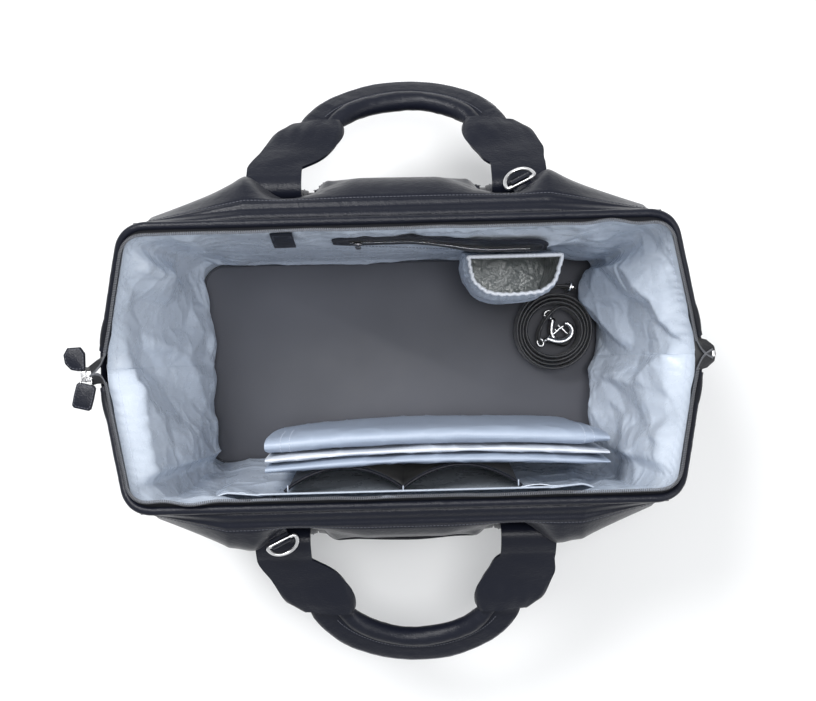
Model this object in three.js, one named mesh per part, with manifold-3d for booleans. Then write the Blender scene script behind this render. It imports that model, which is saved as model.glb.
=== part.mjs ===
// A wide-mouth baby changing bag, standing open: two U-shaped wire frames in leather casings hold the mouth,
// leather panels and gussets hang from them, and the inside is lined and fitted with pockets.
// Millimetres, +Z up, +Y to the back. The origin is the middle of the base's underside.
import * as THREE from "three";
import { mergeVertices } from "three/addons/utils/BufferGeometryUtils.js";
import Module from "manifold-3d";

const wasm = await Module();
wasm.setup();

// ---- Driving dimensions ----
const BASE = { length: 464, depth: 244, corner: 24, thick: 4 };
const BOARD = { inset: 14, thick: 4 };
const GAP = 0.5; // between pieces that lie on each other
const PIVOT = { out: 14, z: 250 }; // where each wire frame folds, out from the middle plane
const FRAME = { endHalf: 273.5, cornerHalf: 240.5, reach: 121, cornerRadius: 22, tilt: 24, wire: 1.9 };
const CASING = { outer: 4, bore: 2.4, start: 4 };
const ZIP = { tape: 1.2, from: 4.5, to: 1.5, rise: 12, bead: 1.4 };
const LEATHER = 2.4;
const LINING = 1.2;
const SEAM_X = { base: 227.6, top: 237.2 }; // half width of the front and back panels
const STRAP = { centre: 115, width: 58, thick: 3.2, bottomZ: 9 };
const HANDLE = { out: 179, z: 231, droop: { front: 31, back: 42 } };
// The grip is a roll on its inner side, with a flat sewn band on its outer side.
const GRIP = {
  halfSpan: 82, endReach: 70, midReach: 118, inner: 20, outer: 20, roll: 9.5, band: 3.2, core: 6.5,
};
const DENT = { centre: 103, depth: 20, half: 42 }; // where the handle straps pull the panel in
const BULGE_REACH = 88; // how far in from the corner seam a long wall has its full bulge
const OUTER_POCKET = { half: 79, bottom: 52, top: 214, droop: 9, bulge: 8 };
const POCKET_ZIP = { half: 78, z: 205, high: 20 };
const MAT = { x0: -133, x1: 197, near: 58, far: 97, top: 214 };
const BOTTLE = { x: 112, half: 47, back: 111, depth: 51, bottom: 60, top: 190, wall: 4 };
const ORGANISER = { x0: -115, x1: 112, bottom: 70, top: 200, bulge: 22 };
const COIL = {
  x: 168, y: 28, inner: 28, pitch: 3.8, turns: 4, thick: 2.2, bottom: 15.8, wide: 34, flare: 7, end: 62,
};

const DEG = Math.PI / 180;
const FLOOR = BASE.thick + GAP + BOARD.thick + GAP; // underside of the floor lining
const FLOOR_TOP = FLOOR + 2.5;
const PANEL_FOOT = BASE.thick + GAP;
const tiltTan = Math.tan(FRAME.tilt * DEG);

// ---- Colours ----
const paint = (color, roughness, metalness = 0) =>
  new THREE.MeshStandardMaterial({ color, roughness, metalness });
const leather = paint(0x1b1c24, 0.5);
const lining = paint(0x9fb0c6, 0.45);
const floorCloth = paint(0x35363c, 0.6);
const organiserCloth = paint(0x2a2d36, 0.6);
const binding = paint(0xc9ccd6, 0.7);
const board = paint(0x4a4038, 0.9);
const steel = paint(0x9a9ca0, 0.35, 0.9);
const chrome = paint(0xd5d6d8, 0.15, 1);
const zipCloth = paint(0x17171c, 0.6);
const padding = paint(0xd8d5cc, 0.9);
const matCloth = paint(0x9aa9b8, 0.5);
const webbing = paint(0x121214, 0.55);

// ---- Small helpers ----
const vec = (x, y, z = 0) => new THREE.Vector3(x, y, z);
const mix = (a, b, t) => a + (b - a) * t;
const smooth = THREE.MathUtils.smoothstep;

function mesh(name, geometry, material) {
  const made = new THREE.Mesh(geometry, material);
  made.name = name;
  return made;
}

// An indexed geometry whose faces point out.
function solidFrom(points, index) {
  let volume = 0;
  const cross = vec(0, 0);
  for (let i = 0; i < index.length; i += 3) {
    const [a, b, c] = [points[index[i]], points[index[i + 1]], points[index[i + 2]]];
    volume += a.dot(cross.crossVectors(b, c));
  }
  const faces = volume < 0 ? index.slice().reverse() : index;
  return new THREE.BufferGeometry().setFromPoints(points).setIndex(faces);
}

// A sheet of even thickness: surface(u, v) for u and v from 0 to 1, between two distances along its normal.
function sheet(surface, columns, rows, near, far) {
  const points = [];
  const step = 1e-3;
  for (const distance of [near, far])
    for (let j = 0; j <= rows; j++)
      for (let i = 0; i <= columns; i++) {
        const [u, v] = [i / columns, j / rows];
        const along = surface(Math.min(u + step, 1), v).sub(surface(Math.max(u - step, 0), v));
        const up = surface(u, Math.min(v + step, 1)).sub(surface(u, Math.max(v - step, 0)));
        const normal = along.cross(up).normalize();
        points.push(surface(u, v).addScaledVector(normal, distance));
      }
  const layer = (columns + 1) * (rows + 1);
  const at = (i, j, side) => side * layer + j * (columns + 1) + i;
  const index = [];
  const quad = (a, b, c, d) => index.push(a, b, c, a, c, d);
  for (let j = 0; j < rows; j++)
    for (let i = 0; i < columns; i++) {
      quad(at(i, j, 1), at(i + 1, j, 1), at(i + 1, j + 1, 1), at(i, j + 1, 1));
      quad(at(i, j, 0), at(i, j + 1, 0), at(i + 1, j + 1, 0), at(i + 1, j, 0));
    }
  for (let i = 0; i < columns; i++) {
    quad(at(i, 0, 0), at(i + 1, 0, 0), at(i + 1, 0, 1), at(i, 0, 1));
    quad(at(i, rows, 1), at(i + 1, rows, 1), at(i + 1, rows, 0), at(i, rows, 0));
  }
  for (let j = 0; j < rows; j++) {
    quad(at(0, j, 1), at(0, j + 1, 1), at(0, j + 1, 0), at(0, j, 0));
    quad(at(columns, j, 0), at(columns, j + 1, 0), at(columns, j + 1, 1), at(columns, j, 1));
  }
  return solidFrom(points, index);
}

// The part of a surface given in millimetres that lies between two values of each coordinate.
const patch = (surface, x0, x1, z0, z1) => (u, v) => surface(mix(x0, x1, u), mix(z0, z1, v));

function outline(points) {
  return new THREE.Shape(points.map(([x, y]) => new THREE.Vector2(x, y)));
}

function plate(shape, depth) {
  return new THREE.ExtrudeGeometry(shape, { depth, bevelEnabled: false, curveSegments: 5 });
}

// A plate whose outline is drawn as [y, z], standing across the X axis.
function standing(shape, width) {
  const turn = new THREE.Matrix4().makeBasis(vec(0, 1), vec(0, 0, 1), vec(1, 0));
  return plate(shape, width).translate(0, 0, -width / 2).applyMatrix4(turn);
}

function roundedRectangle(length, depth, radius) {
  const [x, y] = [length / 2, depth / 2];
  const shape = new THREE.Shape();
  shape.absarc(x - radius, y - radius, radius, 0, Math.PI / 2);
  shape.absarc(radius - x, y - radius, radius, Math.PI / 2, Math.PI);
  shape.absarc(radius - x, radius - y, radius, Math.PI, 1.5 * Math.PI);
  shape.absarc(x - radius, radius - y, radius, 1.5 * Math.PI, 2 * Math.PI);
  return shape;
}

// A section of [sideways, up] points carried along a route in a level plane, with mitred bends.
function sweep(section, route, closed = false) {
  const [sides, count] = [section.length, route.length];
  const points = route.flatMap((p, i) => {
    const before = closed ? route[(i + count - 1) % count] : route[Math.max(i - 1, 0)];
    const after = closed ? route[(i + 1) % count] : route[Math.min(i + 1, count - 1)];
    const arriving = p.clone().sub(before).normalize();
    const leaving = after.clone().sub(p).normalize();
    const tangent = arriving.clone().add(leaving).normalize();
    const stretch = 1 / tangent.dot(arriving.lengthSq() > 0 ? arriving : leaving);
    const sideways = vec(-tangent.y, tangent.x).multiplyScalar(stretch);
    return section.map(([across, up]) => p.clone().addScaledVector(sideways, across).add(vec(0, 0, up)));
  });
  const index = [];
  for (let i = 0; i < (closed ? count : count - 1); i++)
    for (let k = 0; k < sides; k++) {
      const [a, b] = [i * sides + k, i * sides + ((k + 1) % sides)];
      const [c, d] = [((i + 1) % count) * sides + k, ((i + 1) % count) * sides + ((k + 1) % sides)];
      index.push(a, b, d, a, d, c);
    }
  if (!closed) {
    const last = (count - 1) * sides;
    const contour = section.map(([across, up]) => new THREE.Vector2(across, up));
    const turn = THREE.ShapeUtils.isClockWise(contour) ? -1 : 1;
    for (const [a, b, c] of THREE.ShapeUtils.triangulateShape(contour, [])) {
      index.push(...(turn > 0 ? [a, c, b] : [a, b, c]));
      index.push(...(turn > 0 ? [last + a, last + b, last + c] : [last + a, last + c, last + b]));
    }
  }
  return solidFrom(points, index);
}

function oval(halfWide, halfHigh, sides) {
  const at = (i) => (2 * Math.PI * (i + 0.5)) / sides;
  return Array.from({ length: sides }, (_, i) => [halfWide * Math.cos(at(i)), halfHigh * Math.sin(at(i))]);
}

function subtract(whole, ...cuts) {
  const solid = cuts.reduce((left, cut) => left.subtract(toManifold(cut)), toManifold(whole));
  return fromManifold(solid);
}

function toManifold(geometry) {
  const bare = new THREE.BufferGeometry().setAttribute("position", geometry.getAttribute("position").clone());
  if (geometry.index) bare.setIndex(geometry.index.clone());
  const merged = mergeVertices(bare, 1e-3);
  const vertProperties = merged.attributes.position.array;
  return new wasm.Manifold(
    new wasm.Mesh({ numProp: 3, vertProperties, triVerts: new Uint32Array(merged.index.array) }),
  );
}

function fromManifold(solid) {
  const made = solid.getMesh();
  const position = new THREE.BufferAttribute(new Float32Array(made.vertProperties), 3);
  return new THREE.BufferGeometry()
    .setAttribute("position", position)
    .setIndex(new THREE.BufferAttribute(made.triVerts, 1));
}

// ---- Surfaces of the body, seen in the frame of the front side: "out" is away from the middle plane ----
const profile = (points) => new THREE.SplineCurve(points.map(([out, z]) => new THREE.Vector2(out, z)));
const PANEL_MIDDLE = profile([
  [121, PANEL_FOOT], [138, 52], [152, 108], [162, 164], [168, 218], [168, 252], [157, 278], [133.5, 292.5],
]);
const PANEL_SEAM = profile([
  [119, PANEL_FOOT], [121, 52], [123.5, 108], [125.5, 164],
  [127, 218], [127.5, 248], [128.5, 271], [130, 288.5],
]);
const LINING_SEAM = profile([[112, FLOOR_TOP + 0.5], [115, 104], [117.5, 196], [119.5, 288]]);
const LINING_MIDDLE = {
  front: profile([[113, FLOOR_TOP + 0.5], [138, 104], [149, 196], [120, 288]]),
  back: profile([[112, FLOOR_TOP + 0.5], [113, 104], [115, 196], [120, 288]]),
};

// 0 at the corner seam, 1 where the wall has its full bulge.
function fullness(x, halfWidth) {
  const away = halfWidth - Math.abs(x);
  return 0.3 * Math.min(1, away / BULGE_REACH) + 0.7 * smooth(away, 0, BULGE_REACH);
}

function panelPoint(u, t) {
  const halfWidth = mix(SEAM_X.base, SEAM_X.top, t);
  const x = mix(-halfWidth, halfWidth, u);
  const share = fullness(x, halfWidth);
  const [seam, middle] = [PANEL_SEAM.getPoint(t), PANEL_MIDDLE.getPoint(t)];
  const nearStrap = 1 - smooth(Math.abs(Math.abs(x) - DENT.centre), 0, DENT.half);
  const dent = DENT.depth * nearStrap * smooth(t, 0.6, 0.78) * (1 - smooth(t, 0.86, 1));
  return vec(x, -mix(seam.x, middle.x, share) + dent * share, mix(seam.y, middle.y, share));
}

// The share t of the panel's profile at a height on its lower, rising part.
function panelShareAt(z) {
  let [low, high] = [0, 0.75];
  for (let i = 0; i < 24; i++) {
    const t = (low + high) / 2;
    if (PANEL_MIDDLE.getPoint(t).y < z) low = t;
    else high = t;
  }
  return (low + high) / 2;
}

// The panel's surface by its distance from the middle and its height.
function panelAt(x, z) {
  const t = panelShareAt(z);
  const halfWidth = mix(SEAM_X.base, SEAM_X.top, t);
  return panelPoint((x + halfWidth) / (2 * halfWidth), t);
}

function liningPoint(side, x, z) {
  const t = (z - FLOOR_TOP) / (288 - FLOOR_TOP);
  const share = fullness(x, mix(222, 232, t));
  return vec(x, -mix(LINING_SEAM.getPoint(t).x, LINING_MIDDLE[side].getPoint(t).x, share), z);
}

// The end walls, seen in the frame of the left end: "out" is towards -X.
function gussetPoint(y, t, inset) {
  const away = Math.max(0, Math.abs(y) - PIVOT.out);
  const slant = (FRAME.endHalf - FRAME.cornerHalf) / (FRAME.reach * Math.cos(FRAME.tilt * DEG));
  const topOut = FRAME.endHalf - away * slant - inset;
  const topZ = PIVOT.z + away * tiltTan - 7;
  const baseOut = BASE.length / 2 - 1 - inset;
  const foot = inset ? FLOOR_TOP + 0.5 : PANEL_FOOT;
  return vec(-mix(baseOut, topOut, Math.pow(t, 1.3)), y, mix(foot, topZ, t));
}

// ---- Body ----
function makeBase() {
  const made = new THREE.Group();
  const outer = roundedRectangle(BASE.length, BASE.depth, BASE.corner);
  const basePanel = mesh("base_panel", plate(outer, BASE.thick), leather);
  const inner = roundedRectangle(BASE.length - 2 * BOARD.inset, BASE.depth - 2 * BOARD.inset, BASE.corner);
  const baseBoard = mesh("base_board", plate(inner, BOARD.thick), board);
  baseBoard.position.z = BASE.thick + GAP;
  const floorLining = mesh("floor_lining", plate(inner, FLOOR_TOP - FLOOR), floorCloth);
  floorLining.position.z = FLOOR;
  made.add(basePanel, baseBoard, floorLining);
  return made;
}

function makeEnd(side) {
  const made = new THREE.Group();
  made.rotation.z = side === "left" ? 0 : Math.PI;
  const wall = (inset) => (u, v) => {
    const half = mix(117, 124, v) - (inset ? 4 : 0);
    return gussetPoint(mix(half, -half, u), v, inset);
  };
  made.add(mesh(side + "_gusset", sheet(wall(0), 12, 5, 0, -LEATHER), leather));
  made.add(mesh(side + "_lining", sheet(wall(5), 12, 5, 0, -LINING), lining));
  return made;
}

// ---- Wire frames, casings and the zip halves sewn to them. Modelled flat, with the fold at the origin ----
function frameRoute(start) {
  const { endHalf, cornerHalf, reach, cornerRadius: r } = FRAME;
  const end = vec(endHalf - ((endHalf - cornerHalf) / reach) * start, -start);
  const corner = vec(cornerHalf, -reach);
  const armSide = corner.clone().add(end.clone().sub(corner).setLength(r));
  const bend = new THREE.QuadraticBezierCurve3(armSide, corner, vec(cornerHalf - r, -reach)).getPoints(5);
  const right = [end, ...bend];
  const left = right.map((p) => p.clone().setX(-p.x)).reverse();
  return [...right, ...left];
}

function makeFrame(side) {
  const made = new THREE.Group();
  made.position.set(0, -PIVOT.out, PIVOT.z);
  made.rotation.x = -FRAME.tilt * DEG;
  const casing = sweep(oval(CASING.outer, CASING.outer, 10), frameRoute(CASING.start));
  const bore = sweep(oval(CASING.bore, CASING.bore, 8), frameRoute(CASING.start - 2));
  made.add(mesh(side + "_rim_casing", subtract(casing, bore), leather));
  const wire = sweep(oval(FRAME.wire, FRAME.wire, 8), frameRoute(CASING.start + 2));
  made.add(mesh(side + "_frame_wire", wire, steel));
  // Section of the zip half, as [towards the mouth, up]: a tape that rises from the casing to the chain.
  const { from, to, rise, tape, bead } = ZIP;
  const section = [
    [from, -tape], [from + tape, -tape], [to + 2 * bead, rise - bead], [to + 2 * bead, rise + bead],
    [to, rise + bead], [to, rise - bead], [from, 1],
  ].map(([inward, up]) => [-inward, up]);
  made.add(mesh(side + "_zip_half", sweep(section, frameRoute(CASING.start)), zipCloth));
  return made;
}

// ---- Handle: two flat straps and a padded grip. Modelled flat, with the swing line at the origin ----
function strapShape(s) {
  const [inner, outer] = [STRAP.centre - STRAP.width / 2, STRAP.centre + STRAP.width / 2];
  const edge = [
    [outer, 0], [inner, 0], [inner - 9, -13], [inner - 20, -32], [59.5, -50], [60.5, -61],
    [66, -66], [90, -65], [113, -61.5], [121, -54], [outer - 16, -40], [outer - 8, -20],
  ];
  return outline(edge.map(([x, y]) => [s * x, y]));
}

// The middle line of the grip, from the left strap out and round to the right strap.
function gripRoute() {
  const { halfSpan, endReach, midReach } = GRIP;
  const half = new THREE.CubicBezierCurve3(
    vec(-halfSpan, -endReach), vec(-halfSpan, -endReach - 15), vec(-48, -midReach), vec(0, -midReach),
  ).getPoints(7);
  const mirrored = half.slice(0, -1).map((p) => p.clone().setX(-p.x)).reverse();
  return [...half, ...mirrored];
}

// A round roll towards the hinge and a flat band away from it, as [towards the hinge, up].
function gripSection() {
  const { inner, outer, roll, band } = GRIP;
  const arc = [-130, -90, -50, -15, 15, 50, 90, 130].map((a) => a * DEG);
  const round = arc.map((a) => [inner - roll + roll * Math.cos(a), roll * Math.sin(a)]);
  return [...round, [2 - outer, band], [-outer, 0], [2 - outer, -band]];
}

const coreSection = (radius) => oval(radius, radius, 8).map(([x, y]) => [x + GRIP.inner - GRIP.roll, y]);

function makeHandle(side) {
  const made = new THREE.Group();
  made.position.set(0, -HANDLE.out, HANDLE.z);
  made.rotation.x = HANDLE.droop[side] * DEG;
  const route = gripRoute();
  const past = (end) => end.clone().setY(6 - GRIP.endReach);
  const longer = [past(route[0]), ...route, past(route.at(-1))];
  const sleeve = subtract(sweep(gripSection(), route), sweep(coreSection(GRIP.core + 0.5), longer));
  made.add(mesh(side + "_handle_grip", sleeve, leather));
  made.add(mesh(side + "_handle_core", sweep(coreSection(GRIP.core), route.slice(1, -1)), padding));
  for (const s of [-1, 1]) {
    const strap = mesh(`${side}_handle_strap_${hand(side, s)}`, plate(strapShape(s), STRAP.thick), leather);
    strap.position.z = -STRAP.thick / 2;
    made.add(strap);
  }
  return made;
}

// The name of a strap on the side s of the front frame, which is turned half round at the back.
function hand(side, s) {
  return (side === "front") === s < 0 ? "left" : "right";
}

// ---- D-ring in its leather loop, at the panel's crest above a handle strap ----
const RING = {
  x: -113, out: 159.5, z: 265, droop: 40, turn: 26, wire: 1.8, wide: 14, deep: 17, loop: 4.2, loopHalf: 9,
};

function placeAtCrest(object) {
  object.position.set(RING.x, -RING.out, RING.z);
  object.rotation.set(RING.droop * DEG, 0, RING.turn * DEG, "ZXY");
  return object;
}

function makeRingLoop(side) {
  const roll = new THREE.Shape().absarc(0, 0, RING.loop, 0, 2 * Math.PI);
  roll.holes.push(new THREE.Path().absarc(0, 0, RING.wire + 0.4, 0, 2 * Math.PI));
  const geometry = plate(roll, 2 * RING.loopHalf).translate(0, 0, -RING.loopHalf).rotateY(Math.PI / 2);
  return placeAtCrest(mesh(side + "_d_ring_loop", geometry, leather));
}

function makeRing(side) {
  const { wide, deep, wire } = RING;
  const low = -deep * 1.3;
  const bow = new THREE.CubicBezierCurve3(vec(wide, -2), vec(wide, low), vec(-wide, low), vec(-wide, -2));
  const route = [vec(1 - wide, 0), vec(wide - 1, 0), ...bow.getPoints(12)];
  return placeAtCrest(mesh(side + "_d_ring", sweep(oval(wire, wire, 6), route, true), chrome));
}

// ---- Front and back walls ----
function makeAnchors(side) {
  const half = STRAP.width / 2;
  return [-1, 1].map((s) => {
    const middle = s * STRAP.centre;
    const surface = patch(panelAt, middle - half, middle + half, STRAP.bottomZ, HANDLE.z - 5);
    return mesh(`${side}_anchor_strap_${hand(side, s)}`, sheet(surface, 3, 7, 1, 4), leather);
  });
}

// An open pouch between the straps, whose top edge hangs in a shallow curve away from the panel.
function makeOuterPocket() {
  const { half, bottom, top, droop, bulge } = OUTER_POCKET;
  const surface = (u, v) => {
    const x = mix(-half, half, u);
    const across = 1 - (x / half) ** 2;
    const face = panelAt(x, mix(bottom, top - droop * across, v));
    return face.setY(face.y - bulge * across * smooth(v, 0, 0.8));
  };
  return mesh("front_outer_pocket", sheet(surface, 10, 6, GAP, GAP + 2), leather);
}

function makePocketZip(side) {
  const { half, z, high } = POCKET_ZIP;
  const tape = sheet(patch(panelAt, -half, half, z - high / 2, z + high / 2), 8, 3, GAP, GAP + 1.8);
  const edge = [[-4.5, 6], [4.5, 6], [4.5, -6], [2, -7], [2, -25], [-2, -25], [-2, -7], [-4.5, -6]];
  const geometry = plate(outline(edge), 2.6).rotateX(Math.PI / 2);
  const puller = mesh(side + "_pocket_slider", geometry, chrome);
  const face = panelAt(0, z);
  puller.position.set(half - 9, face.y - GAP - 3.6, z);
  return [mesh(side + "_pocket_zip", tape, zipCloth), puller];
}

function makeSide(side) {
  const made = new THREE.Group();
  made.rotation.z = side === "front" ? 0 : Math.PI;
  made.add(mesh(side + "_panel", sheet(panelPoint, 24, 10, 0, -LEATHER), leather));
  made.add(...makeAnchors(side), ...(side === "front" ? [makeOuterPocket()] : makePocketZip(side)));
  made.add(makeFrame(side), makeHandle(side), makeRingLoop(side), makeRing(side));
  const wall = (u, v) => {
    const half = mix(221, 229, v);
    return liningPoint(side, mix(-half, half, u), mix(FLOOR_TOP + 0.5, 287, v));
  };
  made.add(mesh(side + "_lining", sheet(wall, 16, 6, 0, -LINING), lining));
  return made;
}

// ---- Fittings inside the front wall, in the front frame ----
function slipPoint(x, z) {
  const away = mix(3, 20, smooth(z, 20, 150)) * fullness(x, 226);
  const wall = liningPoint("front", x, z);
  return wall.setY(wall.y + LINING + 2.5 + away);
}

function organiserPoint(x, z) {
  const cell = (ORGANISER.x1 - ORGANISER.x0) / 2;
  const wave = Math.abs(Math.sin((Math.PI * (x - ORGANISER.x0)) / cell));
  const open = mix(0.35, 1, smooth(z, ORGANISER.bottom, ORGANISER.top));
  return slipPoint(x, z).add(vec(0, 3 + ORGANISER.bulge * open * Math.pow(wave, 0.8), 0));
}

function makeFrontFittings() {
  const { x0, x1, bottom, top } = ORGANISER;
  const slip = sheet(patch(slipPoint, -202, 202, 20, 205), 16, 6, 0, -LINING);
  const pouch = sheet(patch(organiserPoint, x0, x1, bottom, top), 24, 5, 0.2, -1.6);
  const edge = sheet(patch(organiserPoint, x0, x1, top + 0.6, top + 4), 24, 1, 0.8, -2);
  return [
    mesh("slip_pocket", slip, lining),
    mesh("organiser_pocket", pouch, organiserCloth),
    mesh("organiser_binding", edge, leather),
  ];
}

// ---- Fittings inside the back wall ----
const backPoint = (x, z) => liningPoint("back", -x, z).multiply(vec(1, -1, 1)).setX(x);

function makeInnerPocket() {
  const [x0, x1, z0, z1] = [-62, 140, 200, 248];
  const trim = sheet(patch(backPoint, x0, x1, z0, z1), 10, 3, LINING + GAP, LINING + GAP + 1.4);
  const zip = sheet(patch(backPoint, x0 + 16, x1 - 16, 219, 229), 10, 1, LINING + 2.4, LINING + 3.6);
  const edge = [[-4, 5], [4, 5], [4, -5], [1.8, -6], [1.8, -20], [-1.8, -20], [-1.8, -6], [-4, -5]];
  const slider = plate(outline(edge), 2.4).rotateX(Math.PI / 2);
  const puller = mesh("inner_pocket_slider", slider, chrome);
  puller.position.set(x0 + 24, backPoint(0, 219).y - LINING - 4.6, 224);
  return [mesh("inner_pocket_trim", trim, leather), mesh("inner_pocket_zip", zip, steel), puller];
}

// Plan of the bottle pocket: flat at the wall, round towards the middle of the bag.
function bottlePlan(inset, back) {
  const half = BOTTLE.half - inset;
  const front = BOTTLE.back - BOTTLE.depth + inset;
  const shape = new THREE.Shape();
  shape.moveTo(BOTTLE.x - half, back);
  shape.bezierCurveTo(BOTTLE.x - half, front + 6, BOTTLE.x - half * 0.55, front, BOTTLE.x, front);
  shape.bezierCurveTo(BOTTLE.x + half * 0.55, front, BOTTLE.x + half, front + 6, BOTTLE.x + half, back);
  return shape;
}

function makeBottlePocket() {
  const { bottom, top, wall, back } = BOTTLE;
  const body = plate(bottlePlan(0, back), top - bottom).translate(0, 0, bottom);
  const hollow = plate(bottlePlan(wall, back - wall), top - bottom).translate(0, 0, bottom + wall);
  const shell = fromManifold(toManifold(body).subtract(toManifold(hollow)));
  const band = bottlePlan(-0.8, back);
  band.holes.push(bottlePlan(wall + 0.8, back - wall - 0.8));
  const rim = plate(band, 5).translate(0, 0, top + 0.4);
  return [mesh("bottle_pocket", shell, lining), mesh("bottle_pocket_binding", rim, binding)];
}

function makeHangingTab() {
  const wall = patch(backPoint, -114, -94, 236, 256);
  return mesh("hanging_tab", sheet(wall, 2, 3, LINING + GAP, LINING + GAP + 2.4), leather);
}

// ---- Zip ends, past the frames ----
function makeZipEnds() {
  const z = PIVOT.z - 1.6;
  const leftTail = mesh("zip_tail_left", plate(outline([
    [-282, -12], [-282, 13], [-289.5, 13], [-289.5, -1.5], [-295, -2.5], [-295, -12],
  ]), 1.6), zipCloth);
  leftTail.position.z = z;
  const tab = mesh("zip_end_tab", plate(outline([
    [-290, 15], [-290, -0.5], [-296, -1], [-303, 0], [-309, 6], [-310, 18], [-306, 21], [-295, 21],
  ]), 4.8), leather);
  tab.position.z = z - 1.6;
  const rightTail = mesh("zip_tail_right", plate(outline([
    [283, -12], [290, -9], [290, 9], [283, 12],
  ]), 1.6), zipCloth);
  rightTail.position.z = z;
  const stop = mesh("zip_end_stop", new THREE.BoxGeometry(4, 7, 3.4), chrome);
  stop.position.set(287, 0, z + 1.6 + GAP + 1.7);
  return [leftTail, tab, rightTail, stop];
}

// Slider on the left tail. Its bridge runs along Y, and the ring's wire passes under it along X.
const PULL = { x: -288.5, y: -6, top: 252.2, ring: 5, wire: 0.8, tag: 24 };

function makeZipPull() {
  const body = new THREE.BoxGeometry(11, 10, 1.9).translate(PULL.x, PULL.y, PULL.top - 0.95);
  const arch = outline([
    [-5, -0.5], [-3.8, -0.5], [-3.8, 3.2], [3.8, 3.2], [3.8, -0.5], [5, -0.5], [5, 4.6], [-5, 4.6],
  ]);
  const bridge = standing(arch, 2.4).translate(PULL.x, PULL.y, PULL.top);
  const slider = fromManifold(toManifold(body).add(toManifold(bridge)));
  const level = PULL.top + 1.6;
  const centre = [PULL.x, PULL.y - PULL.ring, level];
  const hoop = (wire) => new THREE.TorusGeometry(PULL.ring, wire, 6, 16).translate(...centre);
  const ring = hoop(PULL.wire);
  // The leather tag is folded over the far side of the ring, which runs through a channel in it.
  const leaf = plate(roundedRectangle(18, PULL.tag, 2.5), 3.6).translate(0, 3.4 - PULL.tag / 2, -1.8);
  leaf.rotateZ(-14 * DEG).translate(PULL.x, PULL.y - 2 * PULL.ring, level);
  const tab = mesh("zip_pull_tab", subtract(leaf, hoop(PULL.wire + 0.35)), leather);
  return [mesh("main_zip_slider", slider, chrome), mesh("zip_pull_ring", ring, chrome), tab];
}

// ---- Loose pieces kept in the bag ----
function makeMat() {
  const { near, far, top } = MAT;
  const split = (near + far) / 2 + 2;
  const crown = [[0, 9], [0.2, 2], [0.5, 0], [0.8, 2], [1, 9]];
  const round = (a, b) => crown.map(([share, drop]) => [mix(a, b, share), top - drop]);
  const section = outline([
    [-near, FLOOR_TOP + 0.6], ...round(-near, -split + 1.5), [-split, top - 22],
    ...round(-split - 1.5, -far), [-far, FLOOR_TOP + 0.6],
  ]);
  return standing(section, MAT.x1 - MAT.x0).translate((MAT.x0 + MAT.x1) / 2, 0, 0);
}

// A flat strap on edge, wound from the inside out. Its last stretch flares out to clear the adjuster.
function coilRadius(turn) {
  return COIL.inner + COIL.pitch * turn + COIL.flare * smooth(turn, COIL.turns - 0.2, COIL.turns);
}

function coilPoint(turn) {
  const angle = COIL.end * DEG + 2 * Math.PI * (COIL.turns - turn);
  return vec(COIL.x + coilRadius(turn) * Math.cos(angle), COIL.y + coilRadius(turn) * Math.sin(angle));
}

function webbingSection() {
  const [half, low, high] = [COIL.thick / 2, COIL.bottom, COIL.bottom + COIL.wide];
  return [[-half, low], [half, low], [half, high], [-half, high]];
}

function coilRoute() {
  const perTurn = 16;
  return Array.from({ length: perTurn * COIL.turns + 1 }, (_, i) => coilPoint(i / perTurn));
}

// A snap hook in the plane of its outline, pointing along +X, with a lever gate that closes the mouth.
const HOOK = { length: 44, thick: 5, z: COIL.bottom + COIL.wide / 2 + 3 };

function hookShapes() {
  const body = outline([
    [0, -4], [5, -5], [14, -3.5], [20, -8], [28, -10.5], [36, -9.5], [42, -4], [44, 2], [42, 8], [37, 10.5],
    [34.6, 7.5], [38, 5], [39, 1.5], [37.5, -2.5], [33, -5.6], [28, -6.2], [23, -4.6], [19, -0.8], [19, 5],
    [14, 6], [5, 5], [0, 4],
  ]);
  const gate = outline([[20.2, 2], [21.6, 1.4], [33.8, 5.8], [33.4, 8.2], [21, 5], [20, 4]]);
  return [body, gate];
}

// Placed inside the coil, turned about its middle and moved sideways off the coil's middle.
function makeHook(name, z, turn, aside) {
  const [body, gate] = hookShapes();
  const made = new THREE.Group();
  made.position.set(COIL.x, COIL.y, z);
  made.rotation.z = turn * DEG;
  const place = (geometry) => geometry.translate(-HOOK.length / 2, aside, -HOOK.thick / 2);
  made.add(mesh(name, place(plate(body, HOOK.thick)), chrome));
  made.add(mesh(name + "_gate", place(plate(gate, HOOK.thick - 1.4).translate(0, 0, 0.7)), chrome));
  return made;
}

function makeLoosePieces() {
  const mat = mesh("changing_mat", makeMat(), matCloth);
  const strap = mesh("shoulder_strap", sweep(webbingSection(), coilRoute()), webbing);
  const buckle = roundedRectangle(12, COIL.wide + 7, 2.5);
  buckle.holes.push(roundedRectangle(6.2, COIL.wide + 1.2, 1));
  const frame = plate(buckle, 3).translate(0, 0, -1.5).rotateX(Math.PI / 2);
  const adjuster = mesh("strap_adjuster", frame, chrome);
  adjuster.position.copy(coilPoint(COIL.turns - 0.02)).setZ(COIL.bottom + COIL.wide / 2);
  const along = coilPoint(COIL.turns).sub(coilPoint(COIL.turns - 0.04));
  adjuster.rotation.z = Math.atan2(along.y, along.x) - Math.PI / 2;
  return [mat, strap, adjuster];
}

const bag = new THREE.Group();
bag.add(makeBase(), makeEnd("left"), makeEnd("right"), makeSide("front"), makeSide("back"));
bag.add(...makeFrontFittings(), ...makeInnerPocket(), ...makeBottlePocket(), makeHangingTab());
bag.add(...makeZipEnds(), ...makeZipPull(), ...makeLoosePieces());
bag.add(makeHook("hook_a", HOOK.z, 22, -7), makeHook("hook_b", HOOK.z - 9, -60, 5));
export default bag;
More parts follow.
